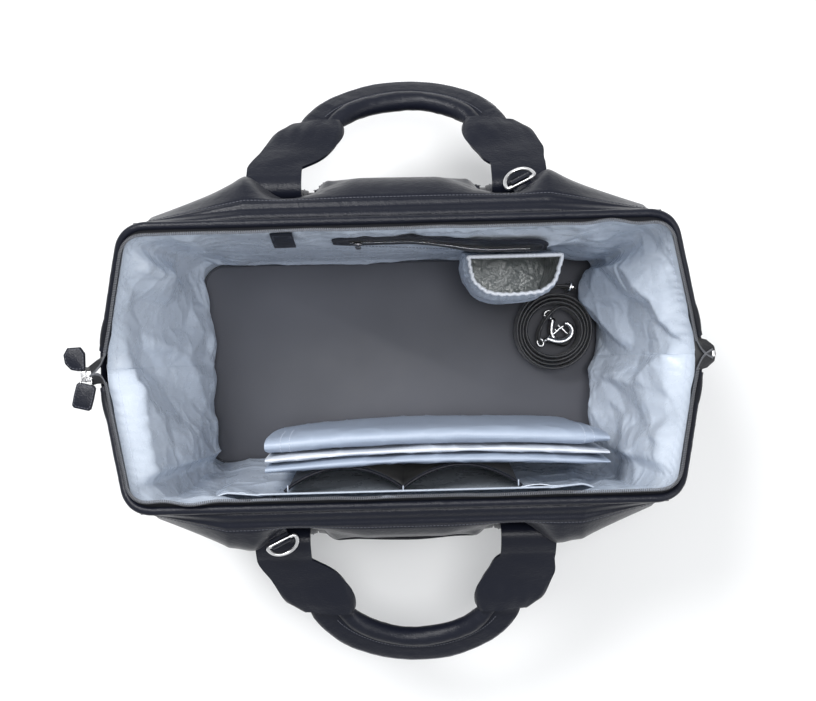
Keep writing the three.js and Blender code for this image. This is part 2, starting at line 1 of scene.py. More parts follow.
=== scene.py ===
"""A framed baby changing bag, standing open: leather, lining, pockets, handles, zips and loose pieces."""

import itertools
import math

import bpy
import numpy as np
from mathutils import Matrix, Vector


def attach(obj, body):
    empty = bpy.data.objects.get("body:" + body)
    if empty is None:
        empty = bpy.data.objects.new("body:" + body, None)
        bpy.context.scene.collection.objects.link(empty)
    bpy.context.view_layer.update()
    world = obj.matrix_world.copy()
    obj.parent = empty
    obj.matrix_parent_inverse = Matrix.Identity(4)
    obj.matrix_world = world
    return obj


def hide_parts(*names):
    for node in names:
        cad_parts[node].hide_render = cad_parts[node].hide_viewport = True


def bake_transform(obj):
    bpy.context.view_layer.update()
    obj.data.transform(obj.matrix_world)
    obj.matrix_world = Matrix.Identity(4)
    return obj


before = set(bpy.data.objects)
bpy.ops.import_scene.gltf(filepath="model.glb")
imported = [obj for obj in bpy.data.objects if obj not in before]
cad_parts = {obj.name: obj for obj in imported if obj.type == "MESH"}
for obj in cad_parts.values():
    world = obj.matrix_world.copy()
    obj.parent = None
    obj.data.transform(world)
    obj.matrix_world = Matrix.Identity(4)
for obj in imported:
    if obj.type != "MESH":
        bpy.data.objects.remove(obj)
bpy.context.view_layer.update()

# ---- Dimensions in millimetres, the same as the CAD's ----
FRONT, BACK = "front", "back"
PIVOT_OUT, PIVOT_Z = 14.0, 250.0
TILT = math.radians(24)
END_HALF, CORNER_HALF, REACH, CORNER_RADIUS = 273.5, 240.5, 121.0, 22.0
CASING_RADIUS = 4.0
STRAP_CENTRE, STRAP_WIDTH, STRAP_THICK = 115.0, 58.0, 3.0
HINGE_OUT, HINGE_Z = 179.0, 231.0
DROOP = {FRONT: math.radians(31), BACK: math.radians(42)}
RING_X, RING_OUT, RING_Z = 113.0, 159.5, 265.0
RING_DROOP, RING_TURN = math.radians(40), math.radians(26)
FLOOR_TOP = 11.5
PANEL_THICK = 2.2
DENT_CENTRE = 101.0  # where the handle straps pull the crest in most
TOPSTITCH_AT = 0.937  # share of the panel's profile, from the base to the rim


# ---- Camera: straight above the mouth, turned a little against the bag ----
def add_camera():
    data = bpy.data.cameras.new("camera")
    data.sensor_width = 36
    data.lens = 50
    camera = bpy.data.objects.new("camera", data)
    camera.location = (0.0065, 0.010, 1.29)
    camera.rotation_euler = (0, 0, math.radians(-1.5))
    bpy.context.scene.collection.objects.link(camera)
    bpy.context.scene.camera = camera


add_camera()


# ---- Numbers on arrays of points ----
def smooth(value, low, high):
    share = np.clip((value - low) / (high - low), 0, 1)
    return share * share * (3 - 2 * share)


def mix(a, b, share):
    return a + (b - a) * share


def vec(x, y, z):
    x, y, z = np.broadcast_arrays(x, y, z)
    return np.stack([x, y, z], axis=-1).astype(float)


def unit(vectors):
    return vectors / np.maximum(np.linalg.norm(vectors, axis=-1, keepdims=True), 1e-9)


def noise(points, size, seed=0):
    """Soft random values from -1 to 1 whose features are about size across."""
    scaled = np.asarray(points, float) / size + 19.7 * seed
    cell = np.floor(scaled)
    part = scaled - cell
    part = part * part * (3 - 2 * part)
    total = 0.0
    for corner in itertools.product((0, 1), repeat=3):
        corner = np.array(corner)
        value = np.sin((cell + corner) @ np.array([127.1, 311.7, 74.7])) * 43758.5453
        weight = np.where(corner == 1, part, 1 - part).prod(axis=-1)
        total = total + weight * (value - np.floor(value))
    return 2 * total - 1


def creases(points, size, seed=0):
    """Values from 0 to 1 that are near 1 along thin, wandering lines."""
    return (1 - np.abs(noise(points, size, seed))) ** 4


def spline(points, t):
    """A Catmull-Rom curve through the points, for t from 0 to 1."""
    points = np.asarray(points, float)
    last = len(points) - 1
    at = np.clip(np.asarray(t, float), 0, 1) * last
    i = np.minimum(at.astype(int), last - 1)
    part = (at - i)[..., None]
    p0, p1 = points[np.maximum(i - 1, 0)], points[i]
    p2, p3 = points[i + 1], points[np.minimum(i + 2, last)]
    v0, v1 = (p2 - p0) / 2, (p3 - p1) / 2
    return (2 * (p1 - p2) + v0 + v1) * part**3 + (3 * (p2 - p1) - 2 * v0 - v1) * part**2 + v0 * part + p1


def along(points, share):
    """The place at a share of the length of a line of points."""
    points = np.asarray(points, float)
    length = np.concatenate([[0], np.cumsum(np.linalg.norm(np.diff(points, axis=0), axis=1))])
    at = np.asarray(share, float) * length[-1]
    return np.stack([np.interp(at, length, points[:, k]) for k in range(points.shape[1])], axis=-1)


def even_curve(points, t):
    """A Catmull-Rom curve run through at an even pace."""
    return along(spline(points, np.linspace(0, 1, 200)), t)


def bezier(corners, count):
    """A cubic curve from the first corner to the last, drawn towards the two between them."""
    t = np.linspace(0, 1, count)[:, None]
    weights = [(1 - t) ** 3, 3 * t * (1 - t) ** 2, 3 * t**2 * (1 - t), t**3]
    return sum(weight * np.array(corner, float) for weight, corner in zip(weights, corners))


def grid_of(a, b, columns, rows):
    """Two arrays that step from 0 to 1, or between given limits, over a grid."""
    return np.meshgrid(np.linspace(*a, columns), np.linspace(*b, rows), indexing="ij")


def on_side(side, x, out, z):
    """A point by its distance out from the middle plane. The back is the front turned half round."""
    return vec(x, -np.asarray(out), z) if side == FRONT else vec(-np.asarray(x), out, z)


def turned_x(points, angle):
    y, z = points[..., 1], points[..., 2]
    c, s = math.cos(angle), math.sin(angle)
    return vec(points[..., 0], y * c - z * s, y * s + z * c)


def turned_z(points, angle):
    x, y = points[..., 0], points[..., 1]
    c, s = math.cos(angle), math.sin(angle)
    return vec(x * c - y * s, x * s + y * c, points[..., 2])


def placed(side, points, out, z, angle):
    """Points of a piece drawn lying towards -Y from its hinge line, put on its side of the bag."""
    moved = turned_x(np.asarray(points, float), angle) + np.array([0, -out, z])
    return on_side(side, moved[..., 0], -moved[..., 1], moved[..., 2])


def hand_name(side, hand):
    """The bag's own left or right, for a piece at hand times x on the front side."""
    return "left" if (side == FRONT) == (hand < 0) else "right"


# ---- Meshes ----
def add_object(name, points, faces, material, uv=None):
    mesh = bpy.data.meshes.new(name)
    mesh.from_pydata((np.asarray(points).reshape(-1, 3) * 0.001).tolist(), [], faces)
    if uv is not None:
        corner = np.zeros(len(mesh.loops), int)
        mesh.loops.foreach_get("vertex_index", corner)
        layer = mesh.uv_layers.new(name="cloth")
        layer.data.foreach_set("uv", np.asarray(uv).reshape(-1, 2)[corner].ravel())
    mesh.shade_smooth()
    mesh.set_sharp_from_angle(angle=math.radians(58))
    mesh.materials.append(material)
    made = bpy.data.objects.new(name, mesh)
    bpy.context.scene.collection.objects.link(made)
    return made


def face_out(faces, points):
    """Turns all faces round when the closed body they make is inside out."""
    points = np.asarray(points).reshape(-1, 3)
    corners = np.array([[face[0], face[k], face[k + 1]] for face in faces for k in range(1, len(face) - 1)])
    a, b, c = points[corners[:, 0]], points[corners[:, 1]], points[corners[:, 2]]
    if np.einsum("ij,ij->i", a, np.cross(b, c)).sum() < 0:
        return [list(face)[::-1] for face in faces]
    return faces


def lengths(grid, axis):
    total = np.cumsum(np.linalg.norm(np.diff(grid, axis=axis), axis=-1), axis=axis)
    pad = [(0, 0), (0, 0)]
    pad[axis] = (1, 0)
    return np.pad(total, pad)


def surface_normals(grid):
    return unit(np.cross(np.gradient(grid, axis=0), np.gradient(grid, axis=1)))


def sheet_object(name, grid, thickness, material, flip=False):
    """A closed sheet. The grid is its outer face, and the thickness goes against the normal."""
    columns, rows = grid.shape[:2]
    normal = surface_normals(grid) * (-1 if flip else 1)
    points = np.concatenate([grid.reshape(-1, 3), (grid - normal * thickness).reshape(-1, 3)])
    top = np.arange(columns * rows).reshape(columns, rows)
    under = top + columns * rows
    face = np.stack([top[:-1, :-1], top[1:, :-1], top[1:, 1:], top[:-1, 1:]], axis=-1).reshape(-1, 4)
    faces = [face, face[:, ::-1] + columns * rows]
    edges = [(top[::-1, 0], under[::-1, 0]), (top[-1, ::-1], under[-1, ::-1])]
    edges += [(top[:, -1], under[:, -1]), (top[0], under[0])]
    for above, below in edges:
        faces.append(np.stack([above[:-1], above[1:], below[1:], below[:-1]], axis=-1))
    faces = face_out(np.concatenate(faces).tolist(), points)
    uv = np.stack([lengths(grid, 0), lengths(grid, 1)], axis=-1).reshape(-1, 2) * 0.001
    return add_object(name, points, faces, material, np.concatenate([uv, uv]))


def sweep_object(name, path, section, material, closed=False, up=(0, 0, 1)):
    """A section of [sideways, up] points carried along a path. The section may change along it."""
    path = np.asarray(path, float)
    count = len(path)
    section = np.asarray(section, float)
    if section.ndim == 2:
        section = np.broadcast_to(section, (count, *section.shape))
    if closed:
        tangent = np.roll(path, -1, axis=0) - np.roll(path, 1, axis=0)
    else:
        tangent = np.gradient(path, axis=0)
    tangent = unit(tangent)
    sideways = unit(np.cross(np.broadcast_to(np.asarray(up, float), path.shape), tangent))
    rise = np.cross(tangent, sideways)
    points = path[:, None] + section[..., :1] * sideways[:, None] + section[..., 1:] * rise[:, None]
    sides = section.shape[1]
    i, k = np.meshgrid(np.arange(count if closed else count - 1), np.arange(sides), indexing="ij")
    after, turn = (i + 1) % count, (k + 1) % sides
    corners = [i * sides + k, i * sides + turn, after * sides + turn, after * sides + k]
    faces = np.stack(corners, axis=-1).reshape(-1, 4).tolist()
    if not closed:
        faces += [list(range(sides))[::-1], list(range((count - 1) * sides, count * sides))]
    run = np.concatenate([[0], np.cumsum(np.linalg.norm(np.diff(path, axis=0), axis=1))])
    girth = np.cumsum(np.linalg.norm(section - np.roll(section, 1, axis=1), axis=-1), axis=1)
    uv = np.stack([np.broadcast_to(run[:, None], girth.shape), girth], axis=-1) * 0.001
    return add_object(name, points, face_out(faces, points), material, uv)


def oval(half_wide, half_high, sides=16):
    angle = np.linspace(0, 2 * math.pi, sides, endpoint=False)
    return np.stack([half_wide * np.cos(angle), half_high * np.sin(angle)], axis=-1)


def rounded_box(wide, high, radius, steps=4):
    """A rounded rectangle as [sideways, up] points."""
    quarter = np.linspace(0, math.pi / 2, steps)
    points = []
    for k, (sx, sy) in enumerate([(1, 1), (-1, 1), (-1, -1), (1, -1)]):
        for angle in quarter + k * math.pi / 2:
            across = sx * (wide / 2 - radius) + radius * math.cos(angle)
            points.append([across, sy * (high / 2 - radius) + radius * math.sin(angle)])
    return np.array(points)


def slab_object(name, outline, z0, z1, material, round_by=0.8, place=None):
    """A plate with softened edges, from a convex outline of [x, y] points."""
    outline = np.asarray(outline, float)
    middle = outline.mean(axis=0)
    reach = np.linalg.norm(outline - middle, axis=1, keepdims=True)
    rings = []
    for inset, z in [(round_by, z0), (0.3 * round_by, z0 + 0.3 * round_by), (0, z0 + round_by),
                     (0, z1 - round_by), (0.3 * round_by, z1 - 0.3 * round_by), (round_by, z1)]:
        ring = middle + (outline - middle) * (1 - inset / reach)
        rings.append(np.column_stack([ring, np.full(len(ring), z)]))
    count = len(outline)
    faces = [list(range(count)), [5 * count + i for i in range(count)][::-1]]
    for r in range(5):
        for i in range(count):
            after = (i + 1) % count
            faces.append([r * count + i, (r + 1) * count + i, (r + 1) * count + after, r * count + after])
    points = np.concatenate(rings)
    if place:
        points = place(points)
    return add_object(name, points, face_out(faces, points), material)


def rods(name, middles, directions, ups, half_length, radius, material, flat=1.0):
    """Many small rounded rods, such as stitches or zip teeth, as one mesh."""
    stations = [(-1.0, 0.3), (-0.75, 0.95), (0.75, 0.95), (1.0, 0.3)]
    ring = oval(1, 1, 6)
    directions = unit(np.asarray(directions, float))
    ups = np.broadcast_to(np.asarray(ups, float), directions.shape)
    ups = unit(ups - (ups * directions).sum(axis=1, keepdims=True) * directions)
    across = np.cross(directions, ups)
    points = []
    for share, wide in stations:
        for x, y in ring * wide * radius:
            points.append(middles + directions * share * half_length + across * x + ups * y * flat)
    points = np.stack(points, axis=1)
    one = [[5, 4, 3, 2, 1, 0], [18, 19, 20, 21, 22, 23]]
    for s in range(3):
        one += [[6 * s + k, 6 * s + (k + 1) % 6, 6 * s + 6 + (k + 1) % 6, 6 * s + 6 + k] for k in range(6)]
    faces = [[24 * n + i for i in face] for n in range(len(middles)) for face in one]
    return add_object(name, points, face_out(faces, points), material)


def stitches(name, path, up, material, pitch=3.2, radius=0.4):
    """A row of stitches lying along a path on a surface."""
    path = np.asarray(path, float)
    length = np.linalg.norm(np.diff(path, axis=0), axis=1).sum()
    share = np.linspace(0, 1, max(3, int(length / pitch)))
    spots = along(path, share)
    ups = np.broadcast_to(np.asarray(up, float), path.shape)
    at = np.linspace(0, 1, len(path))
    ups = np.stack([np.interp(share, at, ups[:, k]) for k in range(3)], axis=1)
    return rods(name, spots, np.gradient(spots, axis=0), ups, pitch * 0.36, radius, material, 0.7)


def rides(pieces, slot, body, *nodes):
    """Pieces that ride on one body, after the named CAD nodes that they stand for are hidden. The slot is not
    used.
    """
    if nodes:
        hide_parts(*nodes)
    for piece in pieces:
        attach(piece, body)


# ---- Materials ----
def shader_of(name, colour, roughness, metallic=0.0, sheen=0.0, coat=0.0, specular=0.5):
    material = bpy.data.materials.new(name)
    material.use_nodes = True
    shader = material.node_tree.nodes["Principled BSDF"]
    values = {"Base Color": (*colour, 1), "Roughness": roughness, "Metallic": metallic}
    values |= {"Sheen Weight": sheen, "Sheen Roughness": 0.4, "Coat Weight": coat, "Coat Roughness": 0.3}
    values["Specular IOR Level"] = specular
    for key, value in values.items():
        shader.inputs[key].default_value = value
    return material, shader


def node(material, kind, **values):
    made = material.node_tree.nodes.new(kind)
    for key, value in values.items():
        if key in made.inputs:
            made.inputs[key].default_value = value
        else:
            setattr(made, key, value)
    return made


def link(material, source, target):
    material.node_tree.links.new(source, target)


def coordinates(material, kind):
    return node(material, "ShaderNodeTexCoord").outputs[kind]


def add_bumps(material, shader, layers):
    """Bumps stacked on each other, as (height socket, depth in metres)."""
    normal = None
    for height, depth in layers:
        bump = node(material, "ShaderNodeBump", Strength=1.0, Distance=depth)
        link(material, height, bump.inputs["Height"])
        if normal is not None:
            link(material, normal, bump.inputs["Normal"])
        normal = bump.outputs["Normal"]
    link(material, normal, shader.inputs["Normal"])


def vary_colour(material, shader, dark, light, factor):
    blend = node(material, "ShaderNodeMix", data_type="RGBA")
    blend.inputs[6].default_value = (*dark, 1)
    blend.inputs[7].default_value = (*light, 1)
    link(material, factor, blend.inputs[0])
    link(material, blend.outputs[2], shader.inputs["Base Color"])


def vary_roughness(material, shader, low, high, factor):
    ramp = node(material, "ShaderNodeMapRange")
    ramp.inputs["To Min"].default_value = low
    ramp.inputs["To Max"].default_value = high
    link(material, factor, ramp.inputs["Value"])
    link(material, ramp.outputs["Result"], shader.inputs["Roughness"])


def make_leather(name, dark, light, roughness):
    """Fine pebbled grain over faint creases, with patches worn a little smoother."""
    material, shader = shader_of(name, dark, roughness, sheen=0.02, specular=0.24)
    place = coordinates(material, "Object")
    pebble = node(material, "ShaderNodeTexVoronoi", Scale=800.0, feature="SMOOTH_F1")
    crease = node(material, "ShaderNodeTexNoise", Scale=110.0, Detail=6.0, Roughness=0.6)
    patch = node(material, "ShaderNodeTexNoise", Scale=9.0, Detail=3.0)
    for texture in (pebble, crease, patch):
        link(material, place, texture.inputs["Vector"])
    add_bumps(material, shader, [(pebble.outputs["Distance"], 0.0002), (crease.outputs["Fac"], 0.0006)])
    vary_colour(material, shader, dark, light, patch.outputs["Fac"])
    vary_roughness(material, shader, roughness - 0.06, roughness + 0.1, crease.outputs["Fac"])
    return material


def make_cloth(name, dark, light, roughness, threads, depth, sheen=0.0, crumple=0.0, specular=0.5, kind="UV"):
    """A plain weave of so many threads to the metre, over soft crumpling."""
    material, shader = shader_of(name, dark, roughness, sheen=sheen, specular=specular)
    weave = node(material, "ShaderNodeMath", operation="MAXIMUM")
    place = coordinates(material, kind)
    for k, direction in enumerate("XY"):
        wave = node(material, "ShaderNodeTexWave", Scale=threads / 20, bands_direction=direction)
        link(material, place, wave.inputs["Vector"])
        link(material, wave.outputs["Fac"], weave.inputs[k])
    place = coordinates(material, "Object")
    soft = node(material, "ShaderNodeTexNoise", Scale=55.0, Detail=5.0, Roughness=0.55)
    tone = node(material, "ShaderNodeTexNoise", Scale=7.0, Detail=2.0)
    for texture in (soft, tone):
        link(material, place, texture.inputs["Vector"])
    layers = [(weave.outputs[0], depth)]
    if crumple:
        layers.append((soft.outputs["Fac"], crumple))
    add_bumps(material, shader, layers)
    vary_colour(material, shader, dark, light, tone.outputs["Fac"])
    vary_roughness(material, shader, roughness - 0.05, roughness + 0.07, soft.outputs["Fac"])
    return material


def make_metal(name, colour, roughness):
    material, shader = shader_of(name, colour, roughness, metallic=1.0)
    scuff = node(material, "ShaderNodeTexNoise", Scale=240.0, Detail=5.0)
    link(material, coordinates(material, "Object"), scuff.inputs["Vector"])
    add_bumps(material, shader, [(scuff.outputs["Fac"], 0.00006)])
    vary_colour(material, shader, tuple(c * 0.86 for c in colour), colour, scuff.outputs["Fac"])
    vary_roughness(material, shader, roughness * 0.7, roughness * 1.5, scuff.outputs["Fac"])
    return material


LEATHER = make_leather("leather", (0.0050, 0.0062, 0.0120), (0.0085, 0.0100, 0.0180), 0.34)
LEATHER_EDGE = make_leather("leather_edge", (0.004, 0.005, 0.009), (0.007, 0.008, 0.013), 0.42)
NYLON = make_cloth(
    "nylon", (0.50, 0.56, 0.65), (0.60, 0.66, 0.745), 0.27, 2600, 0.00003, crumple=0.0008, specular=1.0
)
FLOOR_CLOTH = make_cloth(
    "floor_cloth", (0.055, 0.057, 0.068), (0.115, 0.118, 0.138), 0.55, 1100, 0.0001, sheen=0.1
)
DARK_CLOTH = make_cloth(
    "dark_cloth", (0.022, 0.025, 0.034), (0.032, 0.036, 0.047), 0.5, 1300, 0.00008, sheen=0.1
)
ELASTIC = make_cloth("elastic", (0.55, 0.58, 0.64), (0.66, 0.69, 0.74), 0.6, 1400, 0.0001, sheen=0.15)
MAT_CLOTH = make_cloth(
    "mat_cloth", (0.33, 0.39, 0.49), (0.42, 0.48, 0.58), 0.4, 2200, 0.00004, crumple=0.0006, kind="Object"
)
MAT_EDGE = make_cloth("mat_edge", (0.62, 0.65, 0.71), (0.72, 0.75, 0.8), 0.5, 1500, 0.00006, kind="Object")
WEBBING = make_cloth("webbing", (0.007, 0.0075, 0.010), (0.012, 0.0125, 0.016), 0.45, 700, 0.0003, sheen=0.15)
ZIP_TAPE = make_cloth("zip_tape", (0.006, 0.0065, 0.009), (0.010, 0.011, 0.014), 0.55, 1500, 0.0001)
ZIP_COIL = make_cloth(
    "zip_coil", (0.07, 0.073, 0.085), (0.13, 0.135, 0.15), 0.3, 3000, 0.00003, kind="Object"
)
THREAD = make_cloth("thread", (0.05, 0.054, 0.072), (0.08, 0.085, 0.11), 0.5, 2500, 0.00005, kind="Object")
PALE_THREAD = make_cloth(
    "pale_thread", (0.5, 0.55, 0.65), (0.6, 0.65, 0.74), 0.5, 2500, 0.00005, kind="Object"
)
FOIL = make_cloth(
    "foil", (0.2, 0.23, 0.235), (0.4, 0.43, 0.44), 0.24, 500, 0.0001, crumple=0.006, specular=1.0
)
SILVER = make_metal("silver", (0.8, 0.8, 0.81), 0.3)
GUNMETAL = make_metal("gunmetal", (0.2, 0.2, 0.215), 0.3)


# ---- The outer leather ----
PANEL_MIDDLE = {
    FRONT: [[121, 4.5], [137, 52], [151, 108], [160, 164], [164.5, 215], [166, 248], [160, 270], [148, 285.5],
            [138, 294], [131.5, 297], [128.4, 296.5]],
    BACK: [[121, 4.5], [139, 52], [154, 108], [163, 164], [168, 215], [169.5, 248], [163, 271], [150, 286],
           [139, 294], [131.5, 297], [128.4, 296.5]],
}
PANEL_SEAM = [[119, 4.5], [121, 52], [123.5, 108], [125.5, 164], [127, 218], [127, 248], [125.5, 271],
              [128.4, 292.5]]


def seam_half(t):
    """Half the width of a long side, between its corner seams. It draws in under the rim's rounded corner."""
    return mix(228.5, 238.5, t) - 6 * smooth(t, 0.78, 1)


def fullness(away, reach=88):
    """0 at a corner seam, 1 where a long wall has its full bulge: a quick start, then a straight rise."""
    return 0.2 * smooth(away, 0, 12) + 0.8 * np.clip(away / reach, 0, 1)


def panel_out_z(side, x, t):
    """Distance out and height of the leather of one long side, before its wrinkles."""
    full = fullness(seam_half(t) - np.abs(x), 75 if side == FRONT else 98)
    seam, middle = even_curve(PANEL_SEAM, t), even_curve(PANEL_MIDDLE[side], t)
    out = mix(seam[..., 0], middle[..., 0], full)
    z = mix(seam[..., 1], middle[..., 1], full)
    # The handle straps pull the crest in, with a long slope towards the middle, and flatten what is below.
    off = np.abs(x) - DENT_CENTRE
    crest = 1 - smooth(np.where(off > 0, off, -0.55 * off), 0, 38)
    crest = crest * smooth(z, 235, 258) * (1 - smooth(z, 266, 293))
    under = 1 - smooth(np.abs(np.abs(x) - STRAP_CENTRE), 31, 52)
    under = under * smooth(z, 188, 222) * (1 - smooth(z, 240, 257))
    beside = np.exp(-(((np.abs(x) - 138) / 20) ** 2)) * smooth(z, 222, 250) * (1 - smooth(z, 264, 290))
    out = out - full * (18 * crest + 17 * under) + 4.0 * beside
    if side == FRONT:
        middle_dip = (1 - smooth(np.abs(x), 40, 85)) * smooth(z, 150, 240)
        out = out - 5 * full * middle_dip * (1 - smooth(z, 262, 290))
    return out, z, full


def panel_point(side, x, t):
    out, z, full = panel_out_z(side, x, t)
    seed = 3 if side == FRONT else 8
    loose = full * smooth(t, 0.1, 0.5) * (1 - smooth(t, 0.7, 0.86))
    spot = vec(x, out * 0.6, z)
    out = out + loose * 1.6 * noise(spot, 75, seed)
    out = out + loose * 0.8 * noise(vec(x, z * 0.6, 0 * x), 42, seed + 1)
    beside = np.exp(-((np.abs(np.abs(x) - 103) - 30) ** 2) / 420) * smooth(z, 200, 250)
    beside = beside * (1 - smooth(z, 270, 290))
    out = out + 0.5 * full * beside * np.sin((np.abs(x) + 0.4 * z) / 4.2 + 2.5 * noise(spot, 25, 2))
    groove = 2.6 * np.exp(-(((t - 0.968) / 0.012) ** 2))
    seam_dip = 0.7 * np.exp(-(((t - TOPSTITCH_AT) / 0.006) ** 2))
    return on_side(side, x, out, z - (groove + seam_dip) * smooth(full, 0.05, 0.3))


def panel_normal(side, x, t):
    step = 2e-3
    across = panel_point(side, x + 1, t) - panel_point(side, x - 1, t)
    up = panel_point(side, x, t + step) - panel_point(side, x, t - step)
    return unit(np.cross(across, up))


def follow_frame(piece):
    """Bakes the piece's placement into its mesh."""
    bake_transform(piece)


def make_panel(side):
    share, t = grid_of((-1, 1), (0, 1), 261, 201)
    grid = panel_point(side, share * seam_half(t), t)
    panel = sheet_object(side + "_panel_leather", grid, PANEL_THICK, LEATHER)
    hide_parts(side + "_panel")
    follow_frame(panel)
    x = np.linspace(-226, 226, 260)
    t = np.full_like(x, TOPSTITCH_AT)
    normal = panel_normal(side, x, t)
    row = stitches(side + "_rim_topstitch", panel_point(side, x, t) + normal * 0.3, normal, THREAD)
    follow_frame(row)


def make_gusset(end, side):
    """Half of an end wall, from its middle crease to the corner with a long side."""
    sign = -1 if end == "left" else 1
    share, t = grid_of((0, 1), (0, 1), 71, 101)
    away = share * (mix(118.5, 127.5, t) - 4.5 * smooth(t, 0.78, 1))
    past = np.maximum(0, away - PIVOT_OUT)
    slant = (END_HALF - CORNER_HALF) / (REACH * math.cos(TILT))
    top_x = END_HALF + 1.5 - past * slant - 8 * smooth(away, 92, 126) * smooth(t, 0.7, 1)
    top_z = PIVOT_Z + past * math.tan(TILT) - 3.4
    x = mix(231.5, top_x, t**1.3)
    z = mix(4.5, top_z, t)
    sag = np.sin(math.pi * t) ** 0.8
    crease = -8 * np.exp(-((away / 17) ** 2)) * sag
    spot = vec(sign * 60, away, z)
    ripple = sag * smooth(away, 5, 30) * (1.5 * noise(spot, 45, 4) + 0.7 * noise(spot, 18, 5))
    y = -away if side == FRONT else away
    grid = vec(sign * (x + crease + ripple), y, z)
    inside_out = (sign > 0) == (side == BACK)
    gusset = sheet_object(f"{end}_gusset_leather_{side}", grid, PANEL_THICK, LEATHER, flip=inside_out)
    follow_frame(gusset)
    return gusset


def make_corner_piping(end, side):
    """A rolled leather seam down each corner of the bag."""
    sign = -1 if end == "left" else 1
    t = np.linspace(0, 0.955, 140)
    hand = sign if side == FRONT else -sign
    path = panel_point(side, hand * seam_half(t), t) + vec(sign * 0.4, 0, 0)
    piping = sweep_object(f"{end}_piping_{side}", path, oval(2.3, 2.3, 12), LEATHER_EDGE, up=(sign, 0, 0))
    follow_frame(piping)


def make_base():
    """The leather base: a rounded slab with softened edges."""
    outline = rounded_box(462, 242, 23, 12)
    base = slab_object("base_leather", outline, 0.0, 4.4, LEATHER, 1.6)
    row = stitches("base_stitches", np.column_stack([rounded_box(448, 228, 18, 16), np.full(64, 0.35)]),
                   (0, 0, -1.0), THREAD, pitch=4.5)
    rides([base, row], "leather", "bag_body", "base_panel", "base_board")


for side in (FRONT, BACK):
    make_panel(side)
for end in ("left", "right"):
    halves = [make_gusset(end, side) for side in (FRONT, BACK)]
    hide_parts(end + "_gusset")
    for side in (FRONT, BACK):
        make_corner_piping(end, side)
make_base()


# ---- The mouth: casings, and the two halves of the main zip ----
def frame_route(count, inset=0.0, rise=0.0, start=4.0):
    """The line of a wire frame, drawn flat from its fold, moved in towards the mouth and up.

    Gives the line, its direction and the direction towards the mouth."""
    lean = (END_HALF - CORNER_HALF) / REACH
    end = np.array([END_HALF - lean * start, -start])
    corner = np.array([CORNER_HALF, -REACH])
    arm = corner + unit(end - corner) * CORNER_RADIUS
    bar = corner - [CORNER_RADIUS, 0]
    t = np.linspace(0, 1, 14)[:, None]
    right = np.concatenate([[end], (1 - t) ** 2 * arm + 2 * t * (1 - t) * corner + t**2 * bar])
    flat = np.concatenate([right, (right * [-1, 1])[::-1]])
    path = along(np.column_stack([flat, np.zeros(len(flat))]), np.linspace(0, 1, count))
    tangent = unit(np.gradient(path, axis=0))
    inward = np.cross(tangent, [0, 0, 1.0])
    return path + inward * inset + np.array([0, 0, rise]), tangent, inward


def on_frame(side, points):
    return placed(side, points, PIVOT_OUT, PIVOT_Z, -TILT)


def frame_direction(side, vectors):
    return on_frame(side, np.asarray(vectors, float)) - on_frame(side, np.zeros(3))


def zip_wave(points):
    """The zip tape isn't quite straight: it waves, most where the front meets its left corner."""
    near = np.exp(-(((points[:, 0] + 195) / 34) ** 2)) * (points[:, 1] < -100)
    return 0.6 * noise(points, 28, 9) + 2.2 * near * np.sin(points[:, 0] / 9.0)


def make_rim(side):
    body = side + "_frame"
    up = frame_direction(side, [0, 0, 1.0])
    path, _, _ = frame_route(300, start=3.6)
    swell = 1 + 0.04 * noise(path, 9, 6) + 0.03 * noise(path, 4, 7)
    casing = sweep_object(side + "_rim_leather", on_frame(side, path),
                          oval(CASING_RADIUS, CASING_RADIUS, 20)[None] * swell[:, None, None], LEATHER, up=up)
    rides([casing], "leather", body, side + "_rim_casing", side + "_frame_wire")
    columns = []
    for inset, rise in [(3.2, 1.8), (4.2, 4.0), (4.0, 7.5), (3.2, 11.2)]:
        line, _, inward = frame_route(320, inset, rise)
        columns.append(line + inward * (zip_wave(line) * rise / 11)[:, None])
    tape = sheet_object(side + "_zip_tape", on_frame(side, np.stack(columns, axis=1)), 0.8, ZIP_TAPE)
    spots, tangent, inward = frame_route(430, 3.6, 11.8, start=5)
    spots = spots + inward * zip_wave(spots)[:, None]
    lean = inward + tangent * 0.25 + np.array([0, 0, 0.35])
    teeth = rods(side + "_zip_teeth", on_frame(side, spots), frame_direction(side, lean),
                 frame_direction(side, np.cross(lean, tangent)), 1.6, 0.62, ZIP_COIL)
    rides([tape, teeth], "zip_cloth", body, side + "_zip_half")
    for hand in (-1, 1):
        cap_path = path[:16] if hand > 0 else path[-16:]
        ease = np.sin(np.linspace(0.12, math.pi - 0.12, 16)) ** 0.3
        cap = sweep_object(f"{side}_rim_end_{hand_name(side, hand)}", on_frame(side, cap_path),
                           oval(5.0, 4.9, 20)[None] * ease[:, None, None], LEATHER_EDGE, up=up)
        rides([cap], "leather", body)


for side in (FRONT, BACK):
    make_rim(side)


# ---- Handles. A strap runs up the panel, folds out from under the crest and becomes the leg ----
LEG_INNER = [[88, 0], [76, 11], [65, 28], [60, 46], [59.5, 58], [62, 66]]
LEG_OUTER = [[139, 0], [135, 18], [128.5, 36], [122, 51], [114, 59], [107, 64]]


def lean_at(reach):
    """How far the handles are pushed towards +X at a distance from their hinges."""
    return 4.5 * smooth(reach, 2, 24) + 0.045 * np.maximum(0, reach)


def grip_line(count, shift=0.0):
    """The middle line of the grip, drawn flat, moved away from the hinge."""
    half = bezier([[-82, -64], [-82, -85], [-48, -118], [0, -118]], count // 2 + 1)
    flat = np.concatenate([half, (half[:-1] * [-1, 1])[::-1]])
    path = along(np.column_stack([flat, np.zeros(len(flat))]), np.linspace(0, 1, count))
    tangent = unit(np.gradient(path, axis=0))
    away = np.cross(tangent, [0, 0, 1.0])
    return path + away * shift


